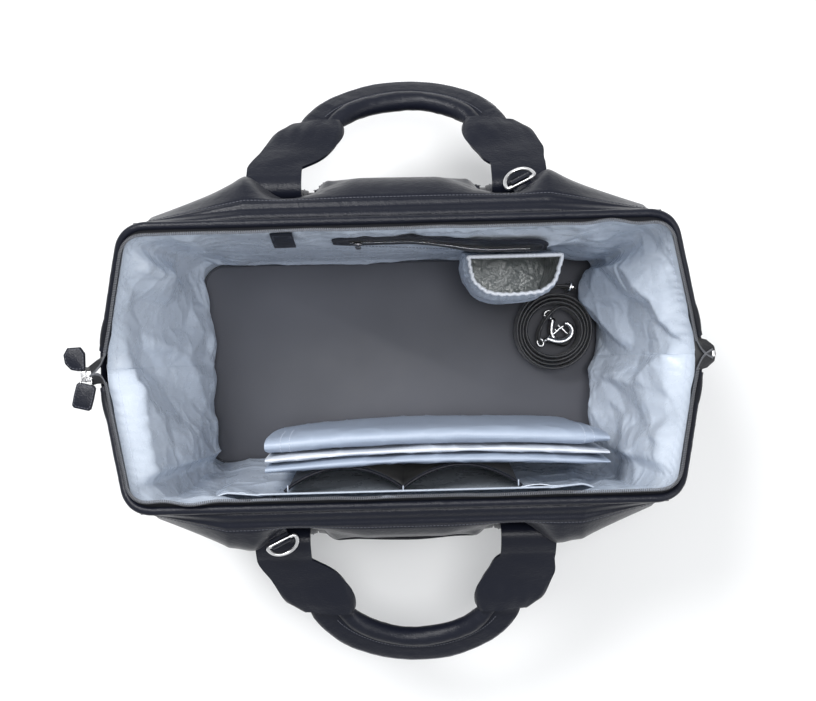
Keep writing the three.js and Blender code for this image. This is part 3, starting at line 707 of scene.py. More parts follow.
def lean_over(side, points):
    """Leans a handle towards +X the further it reaches from its hinge."""
    sign = 1 if side == FRONT else -1
    points = np.array(points, float)
    points[..., 0] += sign * lean_at(-points[..., 1])
    return points


def put_handle(side, points):
    return placed(side, lean_over(side, points), HINGE_OUT, HINGE_Z, DROOP[side])


def handle_direction(side, vectors):
    vectors = np.asarray(vectors, float)
    return placed(side, vectors, 0, 0, DROOP[side]) - placed(side, np.zeros(3), 0, 0, DROOP[side])


def make_anchor(side, hand):
    """The strap sewn up the panel."""
    word = hand_name(side, hand)
    across, z_share = grid_of((-1, 1), (0.02, 0.66), 21, 110)
    half = STRAP_WIDTH / 2

    def point(share, t, lift):
        x = hand * STRAP_CENTRE + share * half
        return panel_point(side, x, t) + panel_normal(side, x, t) * lift

    crown = 3.4 - 1.6 * np.abs(across) ** 6
    strap = sheet_object(f"{side}_anchor_{word}", point(across, z_share, crown[..., None]), 2.6, LEATHER)
    rides([strap], "leather", "bag_body", f"{side}_anchor_strap_{word}")
    line = np.linspace(0.03, 0.64, 120)
    for edge in (-0.87, 0.87):
        share = np.full_like(line, edge)
        x = hand * STRAP_CENTRE + share * half
        path = point(share, line, 3.2)
        row = stitches(f"{side}_anchor_stitches_{word}_{'a' if edge < 0 else 'b'}", path,
                       panel_normal(side, x, line), THREAD)
        rides([row], "leather", "bag_body")


def leg_grid(side, hand, across, share):
    """The free strap: from its sewn end under the crest, over the fold, to the end that holds the grip."""
    droop = DROOP[side]
    fold = np.array([[157.5, 205], [156, 220], [155.5, 230], [157.5, 238], [162.5, 241.5], [169, 239.5],
                     [175, 235.2], [180, 231]])
    outward = np.array([math.cos(droop), -math.sin(droop)])
    tip = fold[-1] + 70 * outward
    reach = mix(-46.0, 69.0, share)
    fold_line = spline(np.concatenate([fold, [mix(fold[-1], tip, 0.15)]]), np.linspace(0, 1, 120))
    fold_length = np.linalg.norm(np.diff(fold_line, axis=0), axis=1).sum()
    at = (fold_length + reach - 10) / fold_length
    out_z = along(fold_line, np.clip(at, 0, 1))
    past = np.maximum(0, reach - 10)[..., None]
    out_z = out_z + past * outward
    on_leg = np.clip(reach / 69, 0, 1)
    inner, outer = even_curve(LEG_INNER, on_leg), even_curve(LEG_OUTER, on_leg)
    edge = mix(inner, outer, ((across + 1) / 2)[..., None])
    slip = np.where(reach > 0, edge[..., 1] - reach, 0)[..., None]
    out_z = out_z + slip * outward
    # The end swells over the grip's roll on its inner side and drops round both edges of it.
    swell = smooth(reach, 26, 58)
    over_roll = 2.6 * smooth(across, 0.7, -0.4) + 2.6
    edge_fall = 1 - 0.9 * smooth(np.abs(across), 0.9, 1.02)
    spot = vec(edge[..., 0], reach, 30 * hand + 0 * reach)
    lift = 1.7 + 1.4 * (1 - across**2) * smooth(reach, -10, 25) + swell * (over_roll * edge_fall - 1.5)
    lift = lift + 0.9 * noise(spot, 26, 11) * smooth(reach, -5, 15)
    lift = lift + 0.9 * swell * np.sin(edge[..., 0] / 3.1 + 0.05 * reach) * noise(spot, 16, 12)
    tangent = unit(np.gradient(out_z, axis=1))
    normal = np.stack([-tangent[..., 1], tangent[..., 0]], axis=-1)
    out_z = out_z + normal * lift[..., None]
    lean = (1 if side == FRONT else -1) * lean_at(reach)
    return on_side(side, hand * edge[..., 0] + lean, out_z[..., 0], out_z[..., 1])


def swing_with_handle(piece):
    """Bakes the piece's placement into its mesh."""
    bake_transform(piece)


def make_leg(side, hand):
    word = hand_name(side, hand)
    across, share = grid_of((-1, 1), (0, 1), 45, 120)
    grid = leg_grid(side, hand, across, share)
    leg = sheet_object(f"{side}_leg_{word}", grid, STRAP_THICK, LEATHER, flip=hand < 0)
    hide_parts(f"{side}_handle_strap_{word}")
    swing_with_handle(leg)
    normal = surface_normals(grid) * (-1 if hand < 0 else 1)
    sewn = {"inner": grid[3, 4:-3], "outer": grid[-4, 4:-3], "end": grid[3:-3, -4]}
    ups = {"inner": normal[3, 4:-3], "outer": normal[-4, 4:-3], "end": normal[3:-3, -4]}
    for place, path in sewn.items():
        row = stitches(f"{side}_leg_stitches_{word}_{place}", path + ups[place] * 0.25, ups[place], THREAD)
        swing_with_handle(row)


def grip_section(path):
    """A round roll on the hinge's side and a flat band away from it, at each station of the path."""
    angle = np.radians([-125, -100, -75, -50, -25, 0, 25, 50, 75, 100, 125])
    roll = np.column_stack([10.5 + 9.5 * np.cos(angle), 9.5 * np.sin(angle)])
    groove, crest = [3.6, 3.4], [1.2, 4.6]
    band = [[-4, 4.2], [-10, 4.3], [-16, 4.0], [-19, 2.6], [-20.2, 0], [-19, -2.6], [-10, -3.4], [3.4, -3.2]]
    section = np.concatenate([roll, [groove, crest], band])
    rest = np.broadcast_to(section, (len(path), *section.shape)).copy()
    at = path[:, None, :] + np.concatenate([section, np.zeros((len(section), 1))], axis=1)[None]
    # The roll is pressed flat where it lies under the ends of the leather.
    from_end = np.minimum(np.arange(len(path)), np.arange(len(path))[::-1]) * 2.2
    rest[..., 1] *= mix(0.42, 1.0, smooth(from_end, 8, 62))[:, None]
    rest[..., 1] += 0.5 * noise(at, 17, 12) + 0.35 * noise(at * [1, 3, 1], 8, 13)
    rest[..., 0] += 0.5 * noise(at, 30, 14)
    return rest


def make_grip(side):
    path = grip_line(150)
    up = handle_direction(side, [0, 0, 1.0])
    grip = sweep_object(side + "_grip_leather", put_handle(side, path), grip_section(path), LEATHER, up=up)
    rides([grip], "leather", side + "_handle", side + "_handle_grip", side + "_handle_core")
    for name, shift, rise in [("seam", -1.0, 4.9), ("edge", 16.4, 4.2)]:
        line = grip_line(150, shift)[12:-12] + [0, 0, rise]
        row = stitches(f"{side}_grip_stitches_{name}", put_handle(side, line), up, THREAD, 3.0, 0.42)
        rides([row], "leather", side + "_handle")


for side in (FRONT, BACK):
    make_grip(side)
    for hand in (-1, 1):
        make_anchor(side, hand)
        make_leg(side, hand)


# ---- D-rings in leather loops at the crest ----
def put_ring(side, points):
    """From a flat drawing with the ring's bar along X to its place at the crest."""
    drooped = turned_z(turned_x(np.asarray(points, float), RING_DROOP), RING_TURN)
    moved = drooped + np.array([-RING_X, -RING_OUT, RING_Z])
    return on_side(side, moved[..., 0], -moved[..., 1], moved[..., 2])


def make_d_ring(side):
    wide, deep = 14.0, 17.0
    bow = bezier([[wide, -2, 0], [wide, -1.3 * deep, 0], [-wide, -1.3 * deep, 0], [-wide, -2, 0]], 36)
    bar = np.column_stack([np.linspace(1.2 - wide, wide - 1.2, 14), np.zeros(14), np.zeros(14)])
    up = put_ring(side, [0, 0, 1.0]) - put_ring(side, [0, 0, 0.0])
    outline = put_ring(side, np.concatenate([bar, bow]))
    ring = sweep_object(side + "_ring_wire", outline, oval(1.7, 1.7, 14), SILVER, closed=True, up=up)
    rides([ring], "chrome", side + "_ring", side + "_d_ring")
    # The leather curls round the bar, and both layers run back under the crest.
    angle = np.radians(np.linspace(-150, 110, 24))
    curl = np.column_stack([-3.9 * np.cos(angle), 3.9 * np.sin(angle)])[::-1]
    tail = np.array([[2.5, -4.0], [5.5, -6.5], [8.0, -11.0], [9.0, -17.0]])
    line = np.concatenate([curl, tail])
    x, share = grid_of((-9.2, 9.2), (0, 1), 13, 60)
    profile = along(line, share)
    crown = 1 + 0.04 * noise(vec(x, share * 40, 0 * x), 6, 4)
    grid = put_ring(side, vec(x, profile[..., 0] * crown, profile[..., 1] * crown))
    loop = sheet_object(side + "_ring_loop", grid, 1.4, LEATHER, flip=side == FRONT)
    rides([loop], "leather", "bag_body", side + "_d_ring_loop")


for side in (FRONT, BACK):
    make_d_ring(side)


# ---- Pockets outside ----
def t_at_height(side, x, z):
    """The share of the panel's profile at a height below its crest."""
    low, high = np.zeros_like(z), np.full_like(z, 0.8)
    for _ in range(24):
        middle = (low + high) / 2
        below = panel_out_z(side, x, middle)[1] < z
        low, high = np.where(below, middle, low), np.where(below, high, middle)
    return (low + high) / 2


def on_panel(side, x, z, lift):
    """A point on the panel's outside at a height, lifted off it."""
    x, z = np.broadcast_arrays(np.asarray(x, float), np.asarray(z, float))
    t = t_at_height(side, x, z)
    return panel_point(side, x, t) + panel_normal(side, x, t) * np.asarray(lift)[..., None]


def make_outer_pocket():
    """An open pouch between the front straps. Its top edge hangs in a curve, in a dark leather edging."""
    def point(x_share, v, extra=0.0):
        x = 84 * x_share
        across = 1 - x_share**2
        top = 218 - 15 * across
        z = mix(50, top, v)
        gape = 1.6 + 9 * across * smooth(v, 0.35, 1) ** 2 + 1.2 * across * noise(vec(x, z, 0 * x), 30, 5)
        return on_panel(FRONT, x, z, np.broadcast_to(gape + extra, np.broadcast(x, v).shape))

    x_share, v = grid_of((-1, 1), (0, 1), 90, 60)
    pocket = sheet_object("outer_pocket_leather", point(x_share, v), 1.8, LEATHER)
    line = np.linspace(-0.97, 0.97, 120)
    edge = point(line, np.full_like(line, 1.0), -0.9)
    piping = sweep_object("outer_pocket_edging", edge, oval(1.3, 1.5, 10), LEATHER_EDGE, up=(0, -1, 0))
    row = stitches("outer_pocket_stitches", point(line, np.full_like(line, 0.965), 0.25), (0, -1, 0), THREAD)
    rides([pocket, piping, row], "leather", "bag_body", "front_outer_pocket")


def make_back_pocket_zip():
    """A slanting zip across the back, between leather welts, with its slider at the left."""
    x, share = grid_of((-77, 77), (-1, 1), 120, 15)
    tape = sheet_object("back_pocket_tape", on_panel(BACK, x, 205 + 6 * share, 0.9 + 0 * x), 0.8, ZIP_TAPE)
    line = np.linspace(-79, 79, 120)
    for name, low, high in [("lower", 194, 201), ("upper", 209, 216)]:
        x, z = grid_of((-79, 79), (low, high), 120, 9)
        bulge = 2.4 * np.sin(math.pi * (z - low) / (high - low)) ** 0.5
        welt = sheet_object(f"back_pocket_welt_{name}", on_panel(BACK, x, z, 0.6 + bulge), 1.4, LEATHER)
        middle = on_panel(BACK, line, (low + high) / 2 + 0 * line, 3.2 + 0 * line)
        row = stitches(f"back_pocket_stitches_{name}", middle, (0, 1, 0), THREAD)
        rides([welt, row], "leather", "bag_body")
    at = np.linspace(-76, 76, 150)
    spots = on_panel(BACK, at, 205 + 0 * at, 1.5 + 0 * at)
    teeth = rods("back_pocket_teeth", spots, vec(0 * at, 0 * at, 1 + 0 * at), (0, 1, 0), 2.2, 0.42, ZIP_COIL)
    rides([tape, teeth], "zip_cloth", "bag_body", "back_pocket_zip")
    place = on_panel(BACK, np.array([69.0]), np.array([205.0]), np.array([2.8]))[0]
    make_slider("outer_slider", "back_pocket_slider", "outer_zip_slider", place, (0, 1, 0), (0, 0, -1), 1.0)


def make_slider(name, stands_for, body, place, outward, pull_way, scale):
    """A zip slider with a hanging puller: outward from the zip, and the puller lying along pull_way."""
    outward, pull_way = unit(np.array(outward, float)), unit(np.array(pull_way, float))
    across = np.cross(pull_way, outward)

    def put(points):
        points = np.asarray(points, float) * scale
        return place + points[..., :1] * across + points[..., 1:2] * pull_way + points[..., 2:] * outward

    shell = [[-4.2, -4.5], [-2.4, -6], [2.4, -6], [4.2, -4.5], [3.6, 4.5], [1.4, 6], [-1.4, 6], [-3.6, 4.5]]
    top = slab_object(name + "_shell", shell, -0.8, 1.3, GUNMETAL, 0.5, put)
    arch = np.array([[0, -4.5, 1.0], [0, -3.6, 3.2], [0, -0.5, 3.9], [0, 2.6, 3.2], [0, 3.6, 1.0]])
    arch_line = put(spline(arch, np.linspace(0, 1, 20)))
    bridge = sweep_object(name + "_bridge", arch_line, oval(1.2, 0.6, 8), GUNMETAL, up=across)
    tag_side = np.array([[2.6, 1], [2.2, 15], [1.2, 17.5]])
    tag_outline = np.concatenate([[[-1.2, -0.6], [1.2, -0.6]], tag_side, (tag_side * [-1, 1])[::-1]])
    tag = slab_object(name + "_tag", tag_outline, 2.0, 3.2, GUNMETAL, 0.4, put)
    rides([top, bridge, tag], "chrome", body, stands_for)


make_outer_pocket()
make_back_pocket_zip()


# ---- Lining: one slack cloth for each half of the bag, sewn to the base and to the rim ----
LINING_FOOT = 12.2
LINING_RIM = 298.0
RING_COLUMNS, RING_ROWS = 165, 64  # points of the settling cloth: along one half, and from foot to rim
CLOTH_COLUMNS, CLOTH_ROWS = 420, 160  # points of the finished cloth of one half


def wall_bulge(side, x, v):
    """How far a long wall's lining stands out past the straight line from foot to rim."""
    arch = np.sin(math.pi * np.clip(v, 0, 1) ** 1.2)
    if side == FRONT:
        return 33 * arch
    # Slack cloth leans in over the bottle pocket.
    over_pocket = smooth(-x, 5, 90) * (1 - smooth(-x, 150, 215))
    return -2 * arch - 10 * over_pocket * smooth(v, 0.4, 0.64) * (1 - smooth(v, 0.7, 1.0))


def wall_point(side, x, z, inward=0.0):
    """A point on the lining of a long wall, moved into the bag. x runs as seen from that wall's outside."""
    x, z, inward = np.broadcast_arrays(np.asarray(x, float), np.asarray(z, float), np.asarray(inward, float))
    v = (z - LINING_FOOT) / (LINING_RIM - LINING_FOOT)
    out = mix(112.0, 120.5, v) + wall_bulge(side, x, v) * fullness(mix(222.0, 232.0, v) - np.abs(x))
    return on_side(side, x, out - inward, z)


def lining_edges(count):
    """The lining's foot and rim, from the bag's left end round the long side to its right end."""
    turn = np.radians(np.linspace(180, 270, 12))
    bend = np.column_stack([-197 + 25 * np.cos(turn), -87 + 25 * np.sin(turn)])
    left = np.concatenate([[[-222, 0]], bend])
    flat = np.concatenate([left, (left * [-1, 1])[::-1]])
    foot = along(np.column_stack([flat, np.full(len(flat), LINING_FOOT)]), np.linspace(0, 1, count))
    rim = on_frame(FRONT, frame_route(count, 4.6, 1.0)[0])[::-1]
    fold = np.array([270.0, 0, 247.5])
    rim = np.concatenate([[fold * [-1, 1, 1]], rim, [fold]])
    return foot, along(rim, np.linspace(0, 1, count))


def lining_rest(side, columns, rows):
    """The lining as it would hang taut, for the front; the back is turned half round later."""
    foot, rim = lining_edges(columns)
    v = np.linspace(0, 1, rows)
    grid = mix(foot[:, None], rim[:, None], v[None, :, None])
    on_wall = fullness(mix(222.0, 232.0, v)[None] - np.abs(grid[..., 0]))
    grid[..., 1] -= wall_bulge(side, grid[..., 0], v[None]) * on_wall
    # The end walls are slack and sag over the floor.
    end = 1 - smooth(np.abs(grid[..., 1]), 62, 112)
    grid[..., 0] -= np.sign(grid[..., 0]) * 12 * end * np.sin(math.pi * v[None] ** 0.55)
    return grid


def held_share(grid, v):
    """1 where the lining is sewn down, at its rim and at the floor, and 0 where it is free."""
    return np.broadcast_to((v > 0.965) | (v < 0.02), grid.shape[:2]).astype(float)


def settle_cloth(rest, held):
    """Lets a ring of cloth, cut larger than the walls, fall into folds between its sewn edges."""
    columns, rows = rest.shape[:2]
    at = np.arange(columns * rows).reshape(columns, rows)
    after = np.roll(at, -1, axis=0)
    faces = np.stack([at[:, :-1], after[:, :-1], after[:, 1:], at[:, 1:]], axis=-1).reshape(-1, 4).tolist()
    cloth = add_object("settling_cloth", rest, faces, NYLON)
    group = cloth.vertex_groups.new(name="held")
    for index, weight in enumerate(held.ravel()):
        group.add([index], float(weight), "REPLACE")
    modifier = cloth.modifiers.new("cloth", "CLOTH")
    settings = modifier.settings
    settings.vertex_group_mass = "held"
    settings.quality = 5
    settings.mass = 0.1
    settings.tension_stiffness = 25
    settings.compression_stiffness = 25
    settings.shear_stiffness = 12
    settings.bending_stiffness = 0.5
    settings.shrink_min = -0.09
    settings.shrink_max = -0.09
    settings.effector_weights.gravity = 0.25
    modifier.collision_settings.use_collision = False
    for frame_number in range(1, 27):
        bpy.context.scene.frame_set(frame_number)
    settled = cloth.evaluated_get(bpy.context.evaluated_depsgraph_get()).to_mesh()
    points = np.empty(columns * rows * 3)
    settled.vertices.foreach_get("co", points)
    bpy.context.scene.frame_set(1)
    bpy.data.objects.remove(cloth)
    return points.reshape(rest.shape) * 1000


def ring_normals(ring):
    """Normals of a closed ring of points, pointing into the bag."""
    padded = np.concatenate([ring[-2:], ring, ring[:2]])
    return -surface_normals(padded)[2:-2]


def facets(a, b, seed):
    """Random heights at the corners of a net, joined by flat triangles. A cell of the net is 1 by 1."""
    heights = np.random.default_rng(seed).uniform(-1, 1, (32, 32))
    row, column = np.floor(a).astype(int), np.floor(b).astype(int)
    past_row, past_column = a - row, b - column

    def corner(i, j):
        return heights[(row + i) % 32, (column + j) % 32]

    near = corner(0, 0) * (1 - past_row - past_column) + corner(1, 0) * past_row + corner(0, 1) * past_column
    far = (corner(1, 1) * (past_row + past_column - 1) + corner(0, 1) * (1 - past_row)
           + corner(1, 0) * (1 - past_column))
    return np.where(past_row + past_column < 1, near, far)


def broad_folds(rest):
    """Depth of the wide, flat-sided folds that slack cloth makes between the corners."""
    run = rest[..., 0] + rest[..., 1] + 14 * noise(rest, 90, 24)
    rise = rest[..., 2] + 12 * noise(rest, 80, 25)
    wide = facets((run + 0.75 * rise) / 66, (run - 1.15 * rise) / 92, 20)
    narrow = facets((run - 0.55 * rise) / 37, (run + 1.3 * rise) / 58, 23)
    return 15 * wide + 4.5 * narrow + 11


def finer(grid, columns, rows):
    """The same surface with more points, along smooth curves."""
    size = grid.shape
    wide = spline(grid.reshape(size[0], -1), np.linspace(0, 1, columns)).reshape(columns, size[1], 3)
    tall = spline(wide.transpose(1, 0, 2).reshape(size[1], -1), np.linspace(0, 1, rows))
    return tall.reshape(rows, columns, 3).transpose(1, 0, 2)


def slack_lining():
    """The folded lining as a ring of points: along the front, left to right, and back along the back."""
    half = {side: lining_rest(side, RING_COLUMNS, RING_ROWS) for side in (FRONT, BACK)}
    rest = np.concatenate([half[FRONT][:-1], half[BACK][:-1] * [-1, -1, 1]])
    v = np.linspace(0, 1, RING_ROWS)[None]
    inward = ring_normals(rest)
    moved = settle_cloth(rest, held_share(rest, v)) - rest
    deep = (moved * inward).sum(axis=-1)
    aside = moved - deep[..., None] * inward
    aside = aside * np.minimum(1, 5 / np.maximum(1e-6, np.linalg.norm(aside, axis=-1, keepdims=True)))
    # Little play behind the pockets, more on the rest of the long walls, and most on the end walls.
    x, y, z = rest[..., 0], rest[..., 1], rest[..., 2]
    on_wall = smooth(np.abs(y), 96, 112) * smooth(z, 20, 60)
    pocket_top = np.where(y < 0, 205, 262)
    near_pocket = on_wall * (1 - smooth(z, pocket_top, pocket_top + 22)) * (1 - smooth(np.abs(x), 150, 200))
    slack = mix(mix(1.0, 0.4, on_wall), 0.06, near_pocket)
    free = smooth(v, 0.0, 0.2) * (1 - smooth(v, 0.88, 1.0))
    deep = np.clip(0.4 * deep + slack * broad_folds(rest), -2.5, 30 * slack)
    return rest + (deep[..., None] * inward + aside * slack[..., None]) * free[..., None]


def make_lining(side, ring):
    """Half of the ring, with more points, gathers beside the zip and a row of stitches."""
    front_half, back_half = [ring[-1:], ring[:RING_COLUMNS + 1]], [ring[RING_COLUMNS - 1:], ring[:1]]
    half = np.concatenate(front_half if side == FRONT else back_half)
    grid = finer(half, CLOTH_COLUMNS, CLOTH_ROWS)
    # The front half runs on a little way behind the back half, so that no gap shows between them.
    from_end = np.minimum(np.arange(CLOTH_COLUMNS), np.arange(CLOTH_COLUMNS)[::-1])
    behind = 0.7 * (1 - smooth(from_end, 1, 4)) if side == FRONT else 0 * from_end
    grid = grid + surface_normals(grid) * behind[:, None, None]
    u, v = grid_of((0, 1), (0, 1), CLOTH_COLUMNS, CLOTH_ROWS)
    seam = smooth(u, 0, 0.03) * smooth(1 - u, 0, 0.03)
    gather = np.sin(lengths(grid, 0) / 1.5 + 5 * noise(grid, 30, 2)) * (0.3 + 0.7 * noise(grid, 22, 6) ** 2)
    lift = 0.7 * gather * seam * smooth(v, 0.88, 0.955) * (1 - smooth(v, 0.985, 1.0))
    lift = lift + 0.8 * creases(grid, 24, 7) * seam * smooth(v, 0.02, 0.1) * (1 - smooth(v, 0.9, 0.98))
    normal = -surface_normals(grid)
    grid = grid + normal * lift[..., None]
    lining = sheet_object(side + "_lining_cloth", grid, 0.7, NYLON, flip=True)
    follow_frame(lining)
    row_at = int(0.968 * (CLOTH_ROWS - 1))
    path, up = grid[4:-4, row_at], normal[4:-4, row_at]
    row = stitches(side + "_lining_stitches", path + up * 0.3, up, PALE_THREAD, 3.4, 0.36)
    follow_frame(row)
    return lining


LINING_RING = slack_lining()
LININGS = {side: make_lining(side, LINING_RING) for side in (FRONT, BACK)}
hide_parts("front_lining", "left_lining")
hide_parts("back_lining", "right_lining")


# ---- Floor inside ----
def make_floor():
    outline = rounded_box(443, 223, 24, 14)
    floor = slab_object("floor_cloth", outline, 9.1, FLOOR_TOP, FLOOR_CLOTH, 0.9)
    edge = np.column_stack([rounded_box(441, 221, 23, 16), np.full(64, FLOOR_TOP + 0.1)])
    welt = sweep_object("floor_welt", edge, oval(1.3, 1.0, 8), DARK_CLOTH, closed=True)
    rides([floor, welt], "floor_cloth", "bag_body", "floor_lining")


make_floor()


# ---- Pockets inside the front wall ----
ORGANISER = {"x0": -115.0, "x1": 112.0, "bottom": 70.0, "top": 202.0, "bulge": 22.0}


def slip_inward(x, z):
    """How far the slip pocket stands off the wall. Its ends are sewn down."""
    slack = 2.3 + mix(3.0, 20.0, smooth(z, 20, 150)) * fullness(226 - np.abs(x))
    return 1.4 + slack * smooth(202 - np.abs(x), 0, 34)


def organiser_inward(x, z):
    cell = (ORGANISER["x1"] - ORGANISER["x0"]) / 2
    wave = np.abs(np.sin(math.pi * (x - ORGANISER["x0"]) / cell)) ** 0.8
    opening = mix(0.35, 1.0, smooth(z, ORGANISER["bottom"], ORGANISER["top"]))
    return slip_inward(x, z) + 3 + ORGANISER["bulge"] * opening * wave


def make_slip_pocket():
    """The wide nylon pocket across the front wall."""
    x, z = grid_of((-202, 202), (20, 205), 260, 110)
    spot = vec(x, 0 * x, z)
    slack = 3.0 * creases(spot, 70, 15) + 1.4 * creases(spot, 26, 16)
    under_hem = smooth(z, 178, 196) * (1 - smooth(z, 198, 204))
    slack = slack + 1.2 * np.sin(x / 4.2 + 2 * noise(spot, 40, 3)) * under_hem
    behind = smooth(np.abs(x + 1.5), 100, 130) * 0.8 + 0.2
    inward = slip_inward(x, z) + slack * behind
    slip = sheet_object("slip_pocket_cloth", wall_point(FRONT, x, z, inward), 0.8, NYLON, flip=True)
    line = np.linspace(-202, 202, 260)
    hem_path = wall_point(FRONT, line, 204.6, slip_inward(line, 204.6) + 0.4)
    hem = sweep_object("slip_pocket_hem", hem_path, oval(1.1, 2.2, 10), NYLON)
    rides([slip, hem], "lining", "bag_body", "slip_pocket")


def make_organiser():
    """Two dark cells in front of the slip pocket, with a leather binding."""
    x, z = grid_of((ORGANISER["x0"], ORGANISER["x1"]), (ORGANISER["bottom"], ORGANISER["top"]), 240, 100)
    wrinkle = 0.9 * creases(vec(x, 0 * x, z), 30, 18)
    grid = wall_point(FRONT, x, z, organiser_inward(x, z) + wrinkle)
    pouch = sheet_object("organiser_cloth", grid, 1.4, DARK_CLOTH, flip=True)
    rides([pouch], "organiser_cloth", "bag_body", "organiser_pocket")
    line = np.linspace(ORGANISER["x0"], ORGANISER["x1"], 220)
    edge = wall_point(FRONT, line, 202.6, organiser_inward(line, 202.0) - 0.6)
    binding = sweep_object("organiser_binding_tape", edge, oval(1.7, 2.6, 12), LEATHER_EDGE)
    ends = np.array([ORGANISER["x0"] + 3, (ORGANISER["x0"] + ORGANISER["x1"]) / 2, ORGANISER["x1"] - 3])
    spots = wall_point(FRONT, ends, 205.2, organiser_inward(ends, 202.0) - 0.6)
    across = np.broadcast_to([0, 1.0, 0], spots.shape)
    bars = rods("organiser_bartacks", spots, across, (0, 0, 1), 3.2, 0.7, PALE_THREAD)
    rides([bars], "lining", "bag_body")
    row = stitches("organiser_stitches", edge + [0, 1.9, -0.3], (0, 1, 0), THREAD)
    rides([binding, row], "leather", "bag_body", "organiser_binding")


make_slip_pocket()
make_organiser()


# ---- Pockets and tab inside the back wall ----
def back_wall(x, z, inward):
    """A point on the back wall's lining, with x as seen from the front."""
    return wall_point(BACK, -np.asarray(x, float), z, inward)


def make_inner_pocket():
    x0, x1, z0, z1 = -62.0, 140.0, 200.0, 248.0
    share, v = grid_of((-1, 1), (-1, 1), 150, 40)
    # The frame has rounded ends: its height shrinks over the last stretch.
    end = np.sqrt(1 - np.clip((np.abs(share) - 0.84) / 0.16, 0, 1) ** 2 * 0.75)
    x = mix(x0, x1, (share + 1) / 2)
    z = (z0 + z1) / 2 + v * end * (z1 - z0) / 2
    crown = 3.1 + 0.9 * np.exp(-(((np.abs(v) - 0.62) / 0.3) ** 2)) + 0.5 * noise(vec(x, z, 0 * x), 24, 6)
    trim = sheet_object("inner_pocket_leather", back_wall(x, z, crown), 1.5, LEATHER)
    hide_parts("inner_pocket_trim")
    x, v = grid_of((x0 + 16, x1 - 16), (-1, 1), 90, 11)
    tape = sheet_object("inner_pocket_tape", back_wall(x, 224 + 5 * v, 4.0), 0.8, ZIP_TAPE)
    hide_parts("inner_pocket_zip")
    at = np.linspace(x0 + 17, x1 - 17, 150)
    spots = back_wall(at, 224, 4.5)
    upright = np.broadcast_to([0, 0, 1.0], spots.shape)
    teeth = rods("inner_pocket_teeth", spots, upright, (0, -1, 0), 2.3, 0.45, SILVER)
    border = rounded_box(x1 - x0 - 9, z1 - z0 - 9, 15, 20)
    ring = back_wall((x0 + x1) / 2 + border[:, 0], 224 + border[:, 1], 4.1)
    row = stitches("inner_pocket_stitches", np.concatenate([ring, ring[:1]]), (0, -1, 0), THREAD)
    for piece in (trim, tape, teeth, row):
        follow_frame(piece)
    place = back_wall(np.array([x0 + 24]), 224.0, 5.6)[0]
    inward, down = (0, -1, 0), (0, 0, -1)
    make_slider("inner_slider", "inner_pocket_slider", "inner_zip_slider", place, inward, down, 1.05)


BOTTLE = {"x": 112.0, "half": 47.0, "back": 110.0, "depth": 51.0, "bottom": 60.0, "top": 190.0}


def bottle_loop(inset, count, lean=0.0):
    """Plan of the bottle pocket: straight along the wall, round towards the middle of the bag."""
    half = BOTTLE["half"] - inset
    front = BOTTLE["back"] - BOTTLE["depth"] + inset
    back = BOTTLE["back"] - inset - lean
    right = bezier([[half, back], [half, front + 6], [half * 0.55, front], [0, front]], 40)
    loop = np.concatenate([right, (right[:-1] * [-1, 1])[::-1]])
    wall = np.linspace(loop[-1], loop[0], 22)[1:]
    path = np.concatenate([loop, wall])
    return along(path + [BOTTLE["x"], 0], np.linspace(0, 1, count))


def pocket_grid(inset, z0, z1, columns, rows, pucker):
    loop = bottle_loop(inset, columns)
    tangent = unit(np.gradient(loop, axis=0))
    outward = np.column_stack([tangent[:, 1], -tangent[:, 0]])
    outward *= np.sign((outward * (loop - loop.mean(axis=0))).sum(axis=1).mean())
    z = np.linspace(z0, z1, rows)
    v = (z - BOTTLE["bottom"]) / (BOTTLE["top"] - BOTTLE["bottom"])
    free = 1 - smooth(loop[:, 1], BOTTLE["back"] - 14, BOTTLE["back"] - 3)
    run = np.linspace(0, 250, columns)
    spots = np.concatenate([np.broadcast_to(loop[:, None], (columns, rows, 2)),
                            np.broadcast_to(z[None, :, None], (columns, rows, 1))], axis=-1)
    # The back leans in with the wall towards the mouth.
    leaning = bottle_loop(inset, columns, 10.0) - loop
    spots[..., :2] += leaning[:, None] * smooth(v, 0.35, 0.95)[None, :, None]
    belly = 2.2 * np.sin(math.pi * np.clip(v, 0, 1)) - 2.2 * smooth(v, 0.8, 1.0)
    gather = pucker * np.sin(run / 1.25 + 3 * noise(vec(run, 0 * run, 0 * run), 30, 9))[:, None]
    shift = belly[None] + gather * smooth(v, 0.7, 0.97)[None] + 1.6 * creases(spots, 30, 10)
    spots[..., :2] += (outward[:, None] * (shift * free[:, None])[..., None])
    return spots


def make_bottle_pocket():
    cloth = sheet_object("bottle_pocket_cloth", pocket_grid(0.6, 61, 190, 260, 70, 0.7), 0.9, NYLON)
    foil = sheet_object("bottle_pocket_foil", pocket_grid(2.6, 64, 188, 200, 60, 0.8), 0.5, FOIL)
    bottom = slab_object("bottle_pocket_floor", bottle_loop(1.0, 70)[:-1], 60.2, 63, FOIL, 0.8)
    rides([cloth, foil, bottom], "lining", "bag_body", "bottle_pocket")
    rim = pocket_grid(1.0, 189.5, 190.5, 320, 3, 0.4)[:-1, 1] + [0, 0, 2.2]
    run = np.arange(len(rim))
    swell = 1 + 0.07 * np.sin(run * 1.1) + 0.1 * noise(rim, 9, 3)
    section = oval(1.9, 2.9, 12)[None] * swell[:, None, None]
    elastic = sweep_object("bottle_pocket_elastic", rim, section, ELASTIC, closed=True)
    rides([elastic], "binding", "bag_body", "bottle_pocket_binding")


